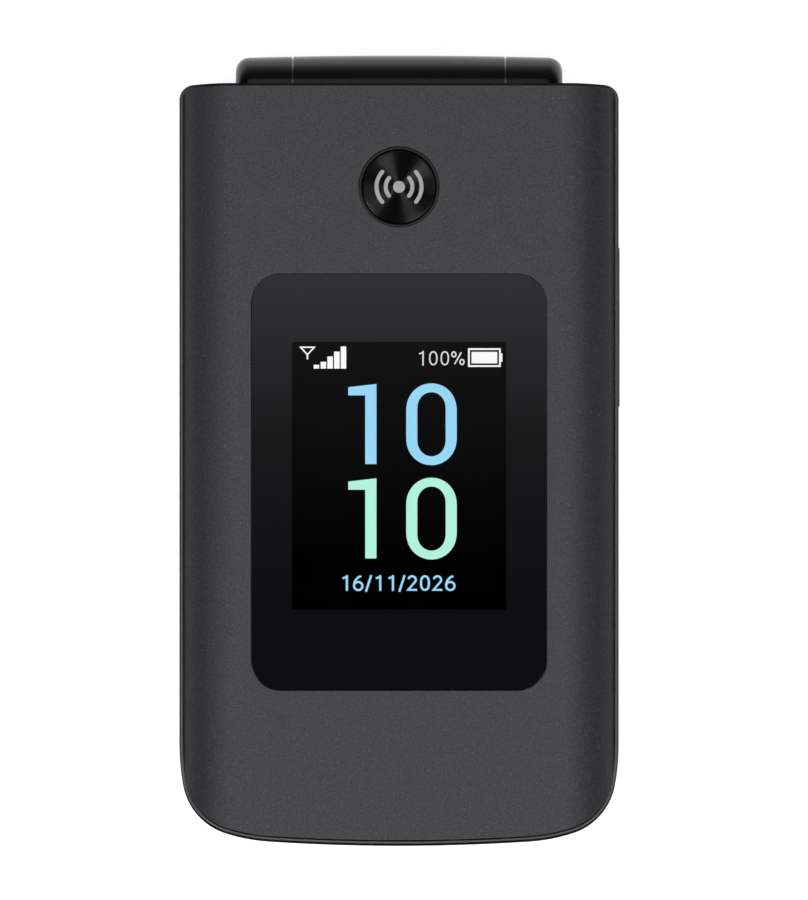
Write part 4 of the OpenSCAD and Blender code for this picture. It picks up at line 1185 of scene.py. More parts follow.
@dataclass
class Hinge:
    """The barrel's bowed middle, and the cam, spring and flex inside it."""

    length: float = 27.7
    radius: float = 4.2
    bow_r: float = 756.0
    barrel_sides: int = 144
    bow_points: int = 33
    bores: tuple[Point3, ...] = (  # start, end and radius of each
        (-14.9, 1.17, 2.95), (-14.9, 14.9, 1.3), (8.68, 14.9, 2.95), (3.7, 14.9, 2.3))
    spring_x: Span = (-7.55, 0.15)
    spring_turns: float = 6.0
    turn_steps: int = 40
    wire: float = 0.6
    coil_r: float = 2.15
    washers: tuple[Point3, ...] = ((-14.03, 0.16, 1.3), (13.87, 0.16, 3.02))  # start, width and hole
    washer_r: float = 3.92

    def barrel(self) -> Piece:
        """Makes the middle of the barrel, whose radius falls off with the square of the distance along it."""
        recipe = Recipe("bowed barrel")
        half = recipe.size("Half length", self.length / 2)
        radius = recipe.size("Radius", self.radius)
        bow = recipe.size("Bow radius", self.bow_r)
        y, z = (recipe.size(name, value) for name, value in zip(("Axis Y", "Axis Z"), HINGE_AT))
        start = recipe.vector(recipe.math("MULTIPLY", half, -1.0))
        line = recipe.shape("CurvePrimitiveLine", Start=start, End=recipe.vector(half))
        fine = recipe.shape("ResampleCurve", Curve=line, Count=self.bow_points)
        place = recipe.part(recipe.shape("InputPosition"), "X")
        square = recipe.math("MULTIPLY", place, place)
        fall = recipe.math("DIVIDE", recipe.math("MULTIPLY", square, 0.5), bow)
        circle = recipe.shape("CurvePrimitiveCircle", Resolution=self.barrel_sides, Radius=1.0)
        shape = recipe.swept(fine, circle, Scale=recipe.math("SUBTRACT", radius, fall))
        for x0, x1, r in self.bores:
            bore = recipe.shape("MeshCylinder", Vertices=64, Radius=r * MM, Depth=(x1 - x0) * MM)
            at = ((x0 + x1) / 2 * MM, 0, 0)
            shape = recipe.cut(shape, recipe.moved(bore, Translation=at, Rotation=ALONG_X))
        mesh = recipe.mesh(recipe.moved(shape, Translation=recipe.vector(0.0, y, z)), GLOSS_BLACK)
        return add_piece("hinge_barrel_middle", mesh, GLOSS_BLACK, Body.LID, Slot.RIM)

    def spring(self) -> Piece:
        """Makes the coil spring along the axis of the hinge."""
        recipe = Recipe("coil spring")
        start, end = self.spring_x
        coil = recipe.size("Coil radius", self.coil_r)
        wire = recipe.size("Wire radius", self.wire / 2)
        height = recipe.size("Height", end - start - self.wire)
        spiral = recipe.shape("CurveSpiral", Resolution=self.turn_steps, Rotations=self.spring_turns,
                              Start_Radius=coil, End_Radius=coil, Height=height)
        section = recipe.shape("CurvePrimitiveCircle", Resolution=14, Radius=wire)
        at = tuple(c * MM for c in (start + self.wire / 2, *HINGE_AT))
        placed = recipe.moved(recipe.swept(spiral, section), Translation=at, Rotation=ALONG_X)
        return add_piece("coiled_spring", recipe.mesh(placed, TURNED), TURNED, Body.LID, Slot.STEEL,
                         ["hinge_spring"])

    def rings(self) -> Piece:
        """Makes the thin steel washers between the barrel's sections."""
        parts = [across(revolved(box(hole, start, self.washer_r, start + width)), HINGE_AT)
                 for start, width, hole in self.washers]
        mesh = make_mesh("washers", joined(*parts), TURNED_SHARP)
        return add_piece("hinge_washers", mesh, WASHER, Body.LID, Slot.STEEL)

    def build(self, model: Model) -> None:
        """Makes the barrel, its washers and the spring, and smooths the turned parts."""
        self.barrel()
        self.rings()
        self.spring()
        for node in ("hinge_shaft", "hinge_cam", "hinge_follower", "hinge_cartridge"):
            model.refine(node, TURNED, Slot.STEEL)
        model.refine("flex_bush", NYLON, Slot.BLACK)
        model.refine("hinge_flex", COPPER, Slot.FLEX)


@dataclass
class OutsideDisplay:
    """The outside lens with its dark print and clear window, and the picture on the screen."""

    lens: Point = (38.6, 54.48)
    lens_r: float = 3.8
    lens_z: Span = (18.35, 19.2)
    lens_edge: float = 0.03
    window: Point = (28.05, 35.06)
    window_r: float = 0.3
    window_gap: float = 0.02
    screen_z: float = 17.065
    screen_t: float = 0.025
    screen_margin: float = 2.0
    picture_lift: float = 0.005
    picture_t: float = 0.02
    figures_top: Span = (8.72, -3.64)
    one: tuple[Point, ...] = ((-2.96, 0), (-6.65, -0.42), (-6.65, -1.5), (-4.43, -1.5), (-4.43, -10.5),
                              (-2.96, -10.5))
    zero_at: Point = (4.25, -5.28)
    zero_outer: Point3 = (3.31, 5.36, 1.75)  # half width, half height, half of its straight side
    zero_inner: Point3 = (1.86, 4.2, 2.0)
    bar_w: float = 0.72
    bars: tuple[Point, ...] = ((-10.82, 0.5), (-9.91, 0.89), (-9.03, 1.59), (-8.15, 2.23), (-7.28, 2.9))
    bars_y: float = 10.73
    battery: tuple[Room, Room] = ((9.04, 13.4, 13.33, 10.95), (9.27, 13.17, 13.1, 11.18))
    blocks: tuple[Room, ...] = (  # the battery's nub and charge, and the foot of the mast
        (13.34, 12.72, 13.54, 11.62), (9.5, 12.92, 12.87, 11.42), (-12.1, 11.95, -11.9, 12.7))
    vane: tuple[tuple[Point, ...], tuple[Point, ...]] = (
        ((-13.1, 13.62), (-10.9, 13.62), (-12.0, 12.42)), ((-12.68, 13.44), (-11.32, 13.44), (-12.0, 12.68)))
    texts: tuple[tuple[str, str, Room, Finish, float], ...] = (
        ("screen_charge_text", "100%", (2.6, 11.13, 8.6, 13.05), LIT_GREY, 0.095),
        ("screen_date_text", "16/11/2026", (-7.45, -18.55, 7.41, -16.3), LIT_BLUE, 0.13))

    @property
    def picture_z(self) -> Span:
        """Lower and upper height of the picture, just over the screen."""
        low = self.screen_z + self.picture_lift
        return low, low + self.picture_t

    def picture(self, name: str, finish: Finish, *parts: MeshParts) -> Piece:
        """Adds a lit part of the picture."""
        return add_piece(name, make_mesh(name, joined(*parts)), finish, Body.LID, Slot.DISPLAY)

    def plate(self, outline: Sequence[Point]) -> MeshParts:
        """Gives a thin plate on an outline."""
        return extruded(outline, *self.picture_z)

    def hoop(self, outer: Sequence[Point], inner: Sequence[Point]) -> MeshParts:
        """Gives a thin ring between two outlines."""
        return tube(outer, inner, *self.picture_z)

    def oval(self, size: Point3, centre: Point, fullness: float = 0.92) -> list[Point]:
        """Gives an outline with half-oval ends and straight sides.

        Args:
            size: its half width, its half height and half of its straight side.
            centre: its middle.
            fullness: 1 for true half ovals, less for squarer ones.

        Returns:
            Its points.
        """
        half_w, half_h, straight = size
        upper = []
        for angle in range(0, 181, 5):
            a = math.radians(angle)
            across_by = half_w * math.cos(a) if abs(angle - 90) < 90 else math.copysign(half_w, 90 - angle)
            up_by = straight + (half_h - straight) * math.sin(a) ** fullness
            upper.append((centre[0] + across_by, centre[1] + up_by))
        return upper + [(2 * centre[0] - x, 2 * centre[1] - y) for x, y in upper]

    def digits(self, top: float) -> list[MeshParts]:
        """Gives the figures one and zero under a height."""
        centre = (self.zero_at[0], top + self.zero_at[1])
        return [self.plate(from_corner((0, top), self.one)),
                self.hoop(self.oval(self.zero_outer, centre), self.oval(self.zero_inner, centre))]

    def signal(self) -> Piece:
        """Makes the row of signal bars, each as high as its foot's attribute says."""
        feet = bpy.data.meshes.new("feet")
        feet.from_pydata([(x * MM, self.bars_y * MM, self.picture_z[0] * MM) for x, _ in self.bars], [], [])
        heights = feet.attributes.new("bar height", "FLOAT", "POINT")
        heights.data.foreach_set("value", [h * MM for _, h in self.bars])
        recipe = Recipe("signal bars")
        width = recipe.size("Bar width", self.bar_w)
        thick = recipe.size("Thickness", self.picture_t)
        height = recipe.add("GeometryNodeInputNamedAttribute", {"data_type": "FLOAT"}, Name="bar height")
        block = recipe.moved(recipe.shape("MeshCube", Size=(1, 1, 1)), Translation=(0, 0.5, 0.5))
        bars = recipe.spread(recipe.source.outputs["Geometry"], block,
                             Scale=recipe.vector(width, height.outputs["Attribute"], thick))
        return add_piece("screen_signal_bars", recipe.mesh(bars, LIT_WHITE, feet), LIT_WHITE, Body.LID,
                         Slot.DISPLAY)

    def over_window(self, more: float) -> list[Point]:
        """Gives the window's outline, larger by a width."""
        width, length = self.window
        return full_rectangle((width + more, length + more), self.window_r, (0, SCREEN_Y))

    def glass(self) -> None:
        """Makes the lens with its printed border, and the clear window in it."""
        low, high = self.lens_z
        whole = crowned(lambda d: half_rectangle(self.lens, self.lens_r, LENS_Y, d, 16), low, lambda x: high,
                        self.lens_edge, [0])
        window = extruded(self.over_window(0), low - PAST, high + PAST)
        border = evened(carve(make_mesh("lens", whole), window))
        # The border's print carries a painted reflection, lighter towards the hinge end.
        add_piece("lens_border", border, LENS_PRINT_AND_PAINTED_REFLECTION, Body.LID, Slot.GLASS, ["front_lens"])
        pane = self.over_window(-self.window_gap)
        add_piece("lens_window", make_mesh("pane", extruded(pane, low, high)), CLEAR, Body.LID, Slot.GLASS,
                  ["front_lens"])

    def build(self, model: Model) -> None:
        """Makes the lens, the face of the screen and the picture."""
        self.glass()
        screen = extruded(self.over_window(self.screen_margin), self.screen_z - self.screen_t, self.screen_z)
        add_piece("screen_face", make_mesh("screen", screen), SCREEN, Body.LID, Slot.DISPLAY)
        upper, lower = self.figures_top
        self.picture("screen_upper_figures", LIT_BLUE, *self.digits(upper))
        self.picture("screen_lower_figures", LIT_MINT, *self.digits(lower))
        self.signal()
        self.picture("screen_battery_and_mast", LIT_WHITE, self.hoop(*(box(*room) for room in self.battery)),
                     *(self.plate(box(*room)) for room in self.blocks), self.hoop(*self.vane))
        for name, text, room, finish, weight in self.texts:
            lit = LineFigures(weight).lay(text, room, lambda x, y: self.picture_z[0], self.picture_t)
            self.picture(name, finish, lit)
        model.dress(STEEL, "front_display")
        model.dress(FOAM, "display_gasket")


@dataclass
class LineFigures:
    """Plain figures and signs drawn with strokes of even width, laid on a surface."""

    weight: float = 0.13
    mitre: float = 0.5
    joins: float = 1e-6  # ends of a line that lie nearer than this make a loop

    @staticmethod
    def bend(centre: Point, radii: Point, start: float, end: float, fullness: float = 1.0) -> list[Point]:
        """Gives a curved line: part of an oval, squarer where the fullness is less than one."""
        points = []
        for x, y in arc((0, 0), 1, start, end, max(int(abs(end - start) / 12), 4)):
            points.append((centre[0] + radii[0] * math.copysign(abs(x) ** fullness, x),
                           centre[1] + radii[1] * math.copysign(abs(y) ** fullness, y)))
        return points

    def strokes(self, figure: str) -> tuple[float, list[list[Point]]]:
        """Gives a figure's width and its lines, in units of its height.

        Args:
            figure: one character.

        Returns:
            The width with its margins, and the lines. A line that ends where it starts is a loop.
        """
        bend = self.bend
        wide = 0.76
        six = [bend((0.38, 0.31), (0.25, 0.26), 0, 360),
               [(0.56, 0.94), (0.38, 0.87), (0.21, 0.67), (0.14, 0.45), (0.13, 0.31)]]
        turns = (math.pi / 6, math.pi / 2, math.pi * 5 / 6)
        rays = [(0.36 * math.cos(a), 0.36 * math.sin(a)) for a in turns]
        table = {
            "0": (wide, [bend((0.38, 0.5), (0.235, 0.435), 0, 360, 0.85)]),
            "1": (wide, [[(0.46, 0.0), (0.46, 1.0)], [(0.2, 0.8), (0.5, 0.91)]]),
            "2": (wide, [bend((0.37, 0.71), (0.22, 0.225), 170, -35) + [(0.13, 0.065), (0.66, 0.065)]]),
            "3": (wide, [bend((0.36, 0.725), (0.22, 0.21), 155, -90),
                         bend((0.36, 0.29), (0.24, 0.225), 90, -155)]),
            "4": (wide, [[(0.5, 0.0), (0.5, 0.95), (0.1, 0.26), (0.7, 0.26)]]),
            "5": (wide, [[(0.62, 0.935), (0.22, 0.935), (0.18, 0.5)]
                         + bend((0.37, 0.32), (0.24, 0.255), 130, -150)]),
            "6": (wide, six),
            "7": (wide, [[(0.1, 0.935), (0.64, 0.935), (0.29, 0.0)]]),
            "8": (wide, [bend((0.38, 0.735), (0.21, 0.2), 0, 360),
                         bend((0.38, 0.29), (0.25, 0.225), 0, 360)]),
            "9": (wide, [[(wide - x, 1 - y) for x, y in line] for line in six]),
            "/": (0.48, [[(0.08, -0.06), (0.4, 1.0)]]),
            "%": (0.98, [bend((0.22, 0.76), (0.13, 0.17), 0, 360), bend((0.76, 0.24), (0.13, 0.17), 0, 360),
                         [(0.27, 0.1), (0.71, 0.9)]]),
            "*": (wide, [[(0.38 - x, 0.5 - y), (0.38 + x, 0.5 + y)] for x, y in rays]),
            "#": (0.84, [[(0.24, 0.05), (0.34, 0.95)], [(0.5, 0.05), (0.6, 0.95)],
                         [(0.06, 0.34), (0.76, 0.34)], [(0.08, 0.66), (0.78, 0.66)]]),
            "C": (0.8, [bend((0.42, 0.5), (0.28, 0.43), 48, 312)]),
        }
        return table[figure]

    def ribbon(self, line: Sequence[Point], width: float) -> MeshParts:
        """Gives a stroke of even width along a line, from height 0 to 1."""
        loop = math.dist(line[0], line[-1]) < self.joins
        points = list(line[:-1]) if loop else list(line)
        n = len(points)
        left, right = [], []
        for i, (x, y) in enumerate(points):
            before = points[i - 1] if i or loop else points[0]
            after = points[(i + 1) % n] if i < n - 1 or loop else points[-1]
            steps = ((before, (x, y)), ((x, y), after))
            ways = [math.atan2(b[1] - a[1], b[0] - a[0]) for a, b in steps if a != b]
            turn = (ways[-1] - ways[0] + math.pi) % (2 * math.pi) - math.pi
            way = ways[0] + turn / 2
            reach = width / 2 / max(math.cos(turn / 2), self.mitre)
            left.append((x - reach * math.sin(way), y + reach * math.cos(way)))
            right.append((x + reach * math.sin(way), y - reach * math.cos(way)))
        return tube(left, right, 0, 1) if loop else extruded(right + left[::-1], 0, 1)

    def lay(self, text: str, room: Room, height: Callable[[float, float], float], thick: float) -> MeshParts:
        """Gives the strokes of a text that fills a rectangle.

        Args:
            text: the characters.
            room: least x and y, then greatest x and y.
            height: gives the height of the surface at a point.
            thick: thickness of the print.

        Returns:
            The points and faces.
        """
        parts, start = [], 0.0
        for figure in text:
            width, lines = self.strokes(figure)
            parts += [self.ribbon([(x + start, y) for x, y in line], self.weight) for line in lines]
            start += width
        points, faces = joined(*parts)
        (u0, u1), (v0, v1) = [(min(p[k] for p in points), max(p[k] for p in points)) for k in (0, 1)]
        x0, y0, x1, y1 = room
        fitted = [(x0 + (u - u0) / (u1 - u0) * (x1 - x0), y0 + (v - v0) / (v1 - v0) * (y1 - y0), level)
                  for u, v, level in points]
        return raised((fitted, faces), height, thick)


@dataclass
class FrontButton:
    """The round button on the lid with its bezel ring and a plain sign."""

    centre: Point = (0.0, BUTTON_Y)
    bezel_r: Span = (4.92, 5.3)
    bezel_z: Point3 = (17.2, 17.65, 19.28)  # its foot, the top of its flange, and its face
    bezel_flange: float = 0.9
    outer_edge: tuple[Point, ...] = ((0, -0.1), (-0.02, -0.03), (-0.08, 0))
    inner_edge: tuple[Point, ...] = ((0.1, 0), (0.03, -0.03), (0, -0.12))
    cap_r: float = 4.87
    cap_edge: tuple[Point, ...] = ((0, -0.12), (-0.04, -0.05), (-0.12, -0.01))
    rim_w: float = 0.25
    top_z: float = 19.18
    dish: float = 0.08
    dish_steps: int = 10
    flange_z: Span = (16.75, 17.1)
    flange_past: float = 0.4
    sign_dot_r: float = 0.78
    sign_arcs: tuple[Point, ...] = ((1.75, 0.52), (2.95, 0.52))  # radius and width of each
    sign_angle: float = 42.0
    sign_t: float = 0.012

    @property
    def dish_r(self) -> float:
        """Radius of the dished part of the face."""
        return self.cap_r - self.rim_w

    def height(self, x: float, y: float) -> float:
        """Gives the height of the dished face at a point."""
        share = ((x - self.centre[0]) ** 2 + (y - self.centre[1]) ** 2) / self.dish_r ** 2
        return self.top_z - self.dish * (1 - min(share, 1.0))

    def band(self, radius: float, width: float, middle: float) -> MeshParts:
        """Gives one curved stroke of the sign, with round ends, from height 0 to 1."""
        start, end = middle - self.sign_angle, middle + self.sign_angle
        half = width / 2
        tips = []
        for angle, turn in ((end, 0), (start, 180)):
            a = math.radians(angle)
            tip = (self.centre[0] + radius * math.cos(a), self.centre[1] + radius * math.sin(a))
            tips.append(arc(tip, half, angle + turn, angle + turn + 180, 8)[1:-1])
        outer = arc(self.centre, radius + half, start, end, 16)
        inner = arc(self.centre, radius - half, end, start, 16)
        return extruded(outer + tips[0] + inner + tips[1], 0, 1)

    def ring(self) -> None:
        """Makes the bezel ring with its flange."""
        inner, outer = self.bezel_r
        low, seat, top = self.bezel_z
        wide = outer + self.bezel_flange
        section = [(inner, low), (wide, low), (wide, seat), (outer, seat),
                   *from_corner((outer, top), self.outer_edge), *from_corner((inner, top), self.inner_edge)]
        add_piece("button_ring", make_mesh("ring", revolved(section, self.centre, FINE), TURNED_SHARP), BEZEL,
                  Body.LID, Slot.BEZEL, ["button_bezel"])

    def cap(self) -> None:
        """Makes the turned cap with its dished face."""
        low, high = self.flange_z
        wide = self.bezel_r[1] + self.flange_past
        section = [(0.0, low), (wide, low), (wide, high), (self.cap_r, high),
                   *from_corner((self.cap_r, self.top_z), self.cap_edge)]
        for step in range(self.dish_steps, -1, -1):
            share = step / self.dish_steps
            section.append((self.dish_r * share, self.top_z - self.dish * (1 - share ** 2)))
        finish = SpunCap("spun black cap", (*self.centre, self.top_z))
        add_piece("spun_button", make_mesh("cap", revolved(section, self.centre, FINE), TURNED_SHARP), finish,
                  Body.BUTTON, Slot.BUTTON, ["quick_call_button"])

    def build(self) -> None:
        """Makes the ring, the cap and the sign."""
        self.ring()
        self.cap()
        dot = revolved(box(0, 0, self.sign_dot_r, 1), self.centre, 32)
        strokes = [self.band(r, w, middle) for r, w in self.sign_arcs for middle in (0, 180)]
        sign = raised(joined(dot, *strokes), self.height, self.sign_t)
        add_piece("button_sign", make_mesh("sign", sign), SIGN_INK, Body.BUTTON, Slot.BUTTON)


@dataclass(frozen=True)
class SideKey:
    """One of the four keys beside the ring: its node, side, place, slot, printed bar and ink."""

    node: str
    side: int
    y: float
    slot: Slot
    bar: Point
    ink: Finish


@dataclass
class Keypad:
    """The face plate, the keys with their plain figures and the navigation keys."""

    pitch: Point = (16.6, 9.6)
    first_row_y: float = -13.0
    number_size: Point = (15.2, 8.2)
    side_size: Point = (12.0, 8.0)
    side_x: float = 18.6
    side_keys: tuple[SideKey, ...] = (
        SideKey("soft_key_left", -1, 24.0, Slot.KEY, (3.4, 0.7), WHITE_INK),
        SideKey("soft_key_right", 1, 24.0, Slot.KEY, (3.4, 0.7), WHITE_INK),
        SideKey("call_key", -1, 9.0, Slot.CALL, (5.2, 1.3), GREEN_INK),
        SideKey("end_key", 1, 9.0, Slot.END, (5.2, 1.3), RED_INK))
    clear_y: float = -1.2
    clear_size: Point = (15.2, 7.0)
    clear_figure: Point = (2.2, 2.8)
    corner_r: float = 1.8
    flange: float = 0.6
    flange_z: Span = (8.87, 9.17)
    top_z: float = 10.35
    arch_r: float = 100.0
    edge: float = 0.28
    figures: str = "123456789*0#"
    figure_size: Point = (2.3, 3.6)
    other_sizes: dict[str, Point] = field(
        default_factory=lambda: {"1": (1.25, 3.6), "*": (2.1, 2.3), "#": (2.3, 2.9)})
    figure_weight: float = 0.12
    ink_lift: float = 0.002
    ink_t: float = 0.02
    bar_edge: float = 0.01
    bar_flat: float = 0.02
    bar_depth: float = 0.05
    nav_y: float = 17.0
    ring_r: Point3 = (5.2, 11.0, 11.6)  # its opening, its side and its flange
    ring_bore_r: float = 6.3
    ring_z: float = 8.51
    ring_step: float = 0.8
    ring_edge: tuple[Point, ...] = ((0, -0.25), (-0.08, -0.05))
    ring_face: Span = (0.15, 0.3)  # where its dish starts and ends, from the opening and the side
    ring_rise: float = 0.1
    ring_dish: float = 0.35
    dish_steps: int = 12
    thin_flange: float = 0.25
    ok_r: float = 4.9
    ok_flange: float = 0.9
    ok_edge: tuple[Point, ...] = ((0, -0.12), (-0.06, 0), (-0.25, 0.1))
    ok_dome: tuple[Point, ...] = ((0.5, 0.16), (0, 0.18))  # share of its radius, and rise
    mark_r: float = 0.42
    mark_flat: float = 0.25

    def arch(self, x: float) -> float:
        """Gives the height of a key's face at a distance from its middle."""
        return self.top_z - self.arch_r + math.sqrt(self.arch_r ** 2 - x * x)

    def key(self, node: str, centre: Point, size: Point, slot: Slot = Slot.KEY) -> None:
        """Makes one key with its flange under the face plate."""
        columns = [i * size[0] / 20 for i in range(9)]
        cap = crowned(lambda d: half_rectangle(size, self.corner_r, centre[1], d), self.flange_z[0],
                      self.arch, self.edge, columns, centre[0])
        wide = (size[0] + 2 * self.flange, size[1] + 2 * self.flange)
        flange = extruded(full_rectangle(wide, self.corner_r, centre), *self.flange_z)
        mesh = make_mesh(node, joined(cap, flange), TURNED_SHARP)
        add_piece(f"cap_{node}", mesh, KEY_PLASTIC, node, slot, [node])

    def print_on(self, node: str, text: str, centre: Point, size: Point) -> None:
        """Prints a figure on a key."""
        (x, y), (half_w, half_h) = centre, (side / 2 for side in size)
        room = (x - half_w, y - half_h, x + half_w, y + half_h)
        laid = LineFigures(self.figure_weight).lay(
            text, room, lambda at, _: self.arch(at - x) + self.ink_lift, self.ink_t)
        add_piece(f"figure_{node}", make_mesh(node, laid), WHITE_INK, node, Slot.KEY)

    def bar_on(self, node: str, centre: Point, size: Point, finish: Finish) -> None:
        """Prints a plain bar on a key."""
        columns = [size[0] * i / 20 for i in range(8)]
        top = self.ink_lift + self.ink_t
        bar = crowned(lambda d: half_rectangle(size, min(size) / 2 - self.bar_flat, centre[1], d),
                      self.arch(size[0] / 2) - self.bar_depth, lambda x: self.arch(x) + top, self.bar_edge,
                      columns, centre[0])
        add_piece(f"bar_{node}", make_mesh(node, bar), finish, node, Slot.KEY)

    def navigation(self) -> None:
        """Makes the ring with its dished face, and the middle key with its low dome."""
        inner, outer, wide = self.ring_r
        z, top = self.ring_z, self.top_z
        start, end = inner + self.ring_face[0], outer - self.ring_face[1]
        face = []
        for share in (step / self.dish_steps for step in range(self.dish_steps + 1)):
            dish = self.ring_dish * math.sin(math.pi * share)
            face.append((end - share * (end - start), top + self.ring_rise - dish))
        seat, step = z + self.thin_flange, z + self.ring_step
        ring = [(self.ring_bore_r, z), (wide, z), (wide, seat), (outer, seat),
                *from_corner((outer, top), self.ring_edge), *face, (inner, top + self.ring_edge[1][1]),
                (inner, step), (self.ring_bore_r, step)]
        mesh = make_mesh("ring", revolved(ring, (0, self.nav_y), FINE), TURNED_SHARP)
        add_piece("dished_ring", mesh, RING_PLASTIC, Body.RING, Slot.RIM, ["nav_ring"])
        z, r, wide = self.flange_z[0], self.ok_r, self.ok_r + self.ok_flange
        seat = z + self.thin_flange
        dome = [(share * r, top + rise) for share, rise in self.ok_dome]
        ok = [(0.0, z), (wide, z), (wide, seat), (r, seat), *from_corner((r, top), self.ok_edge), *dome]
        mesh = make_mesh("ok", revolved(ok, (0, self.nav_y)), TURNED_SHARP)
        add_piece("round_ok_key", mesh, KEY_PLASTIC, Body.OK, Slot.KEY, ["ok_key"])

    def marks(self) -> None:
        """Makes the four flat domes on the ring."""
        recipe = Recipe("four marks")
        reach = recipe.size("Reach", (self.ring_r[0] + self.ring_r[1]) / 2)
        mark = recipe.size("Mark radius", self.mark_r)
        circle = recipe.shape("MeshCircle", Vertices=4, Radius=reach)
        dome = recipe.shape("MeshUVSphere", Segments=20, Rings=10, Radius=mark)
        spots = recipe.spread(circle, recipe.moved(dome, Scale=(1, 1, self.mark_flat)))
        at = (0, self.nav_y * MM, (self.top_z + self.ring_rise - self.ring_dish) * MM)
        mesh = recipe.mesh(recipe.moved(spots, Translation=at), WHITE_INK)
        add_piece("ring_marks", mesh, WHITE_INK, Body.RING, Slot.KEY)

    def build(self, model: Model) -> None:
        """Makes the plate and all keys."""
        model.refine("keypad_fascia", BASE_SHELL, Slot.PAINT, 14)
        model.refine("nav_gimbal", STEEL, Slot.STEEL)
        model.dress(RUBBER, "keypad_mat")
        for i, figure in enumerate(self.figures):
            node = {"*": "key_star", "#": "key_hash"}.get(figure, f"key_{figure}")
            centre = ((i % 3 - 1) * self.pitch[0], self.first_row_y - (i // 3) * self.pitch[1])
            self.key(node, centre, self.number_size)
            self.print_on(node, figure, centre, self.other_sizes.get(figure, self.figure_size))
        for side_key in self.side_keys:
            self.key(side_key.node, (side_key.side * self.side_x, side_key.y), self.side_size, side_key.slot)
        for side_key in self.side_keys:
            self.bar_on(side_key.node, (side_key.side * self.side_x, side_key.y), side_key.bar, side_key.ink)
        self.key("clear_key", (0, self.clear_y), self.clear_size)
        self.print_on("clear_key", "C", (0, self.clear_y), self.clear_figure)
        self.navigation()
        self.marks()


@dataclass
class InsideDisplay:
    """The inside lens, its display and the earpiece with its perforated grille."""

    lens: Point = (51.0, 78.0)
    lens_r: float = 3.9
    lens_y: float = -2.0
    lens_z: Span = (10.8, 11.4)
    lens_edge: float = 0.1
    earpiece_y: float = -46.25
    grille: Point3 = (8.9, 1.4, 0.76)
    grille_z: float = 11.15
    grille_flange: Point3 = (10.6, 3.0, 0.25)
    flange_overlap: float = 0.01
    holes: tuple[int, int] = (13, 2)
    hole_pitch: float = 0.6
    hole_r: float = 0.18
    drill_length: float = 4.0

    def perforated(self) -> Piece:
        """Makes the grille: a plate with two rows of holes, and the flange behind it."""
        recipe = Recipe("perforated grille")
        pitch = recipe.size("Hole pitch", self.hole_pitch)
        radius = recipe.size("Hole radius", self.hole_r)
        along, rows = self.holes
        grid = recipe.shape("MeshGrid", Size_X=recipe.math("MULTIPLY", pitch, float(along - 1)), Size_Y=pitch,
                            Vertices_X=along, Vertices_Y=rows)
        drill = recipe.shape("MeshCylinder", Vertices=16, Radius=radius, Depth=self.drill_length * MM)
        drills = recipe.shape("RealizeInstances", Geometry=recipe.spread(grid, drill))
        plate = recipe.shape("MeshCube", Size=tuple(c * MM for c in self.grille))
        flange = recipe.shape("MeshCube", Size=tuple(c * MM for c in self.grille_flange))
        lift = (self.grille[2] + self.grille_flange[2]) / 2 - self.flange_overlap
        whole = recipe.union(plate, recipe.moved(flange, Translation=(0, 0, lift * MM)))
        at = (0, self.earpiece_y * MM, (self.grille_z + self.grille[2] / 2) * MM)
        mesh = recipe.mesh(recipe.moved(recipe.cut(whole, drills), Translation=at), STEEL)
        return add_piece("perforated_grille", mesh, STEEL, Body.LID, Slot.STEEL, ["earpiece_mesh"])

    def build(self, model: Model) -> None:
        """Makes the lens and the grille, and dresses what lies behind."""
        low, high = self.lens_z
        points, faces = crowned(lambda d: half_rectangle(self.lens, self.lens_r, self.lens_y, d, 12), -high,
                                lambda x: -low, self.lens_edge, [0])
        flipped = [(x, y, -z) for x, y, z in points]
        # The lens's print carries a faint painted reflection, lighter towards the hinge end.
        add_piece("inside_lens", make_mesh("lens", (flipped, faces)), INSIDE_GLASS, Body.LID, Slot.GLASS,
                  ["inner_lens"])
        self.perforated()
        model.dress(STEEL, "main_display", "lid_magnet")
        model.dress(BLACK_NYLON, "earpiece")
        model.dress(BOARD, "lid_board")


@dataclass(frozen=True)
class ScrewSet:
    """Screws of one size, in mirrored pairs, whose heads face down."""

    name: str
    places: tuple[Point, ...]
    head_z: Span
    tip_z: float
    recess: float
    body: Body
    node: str


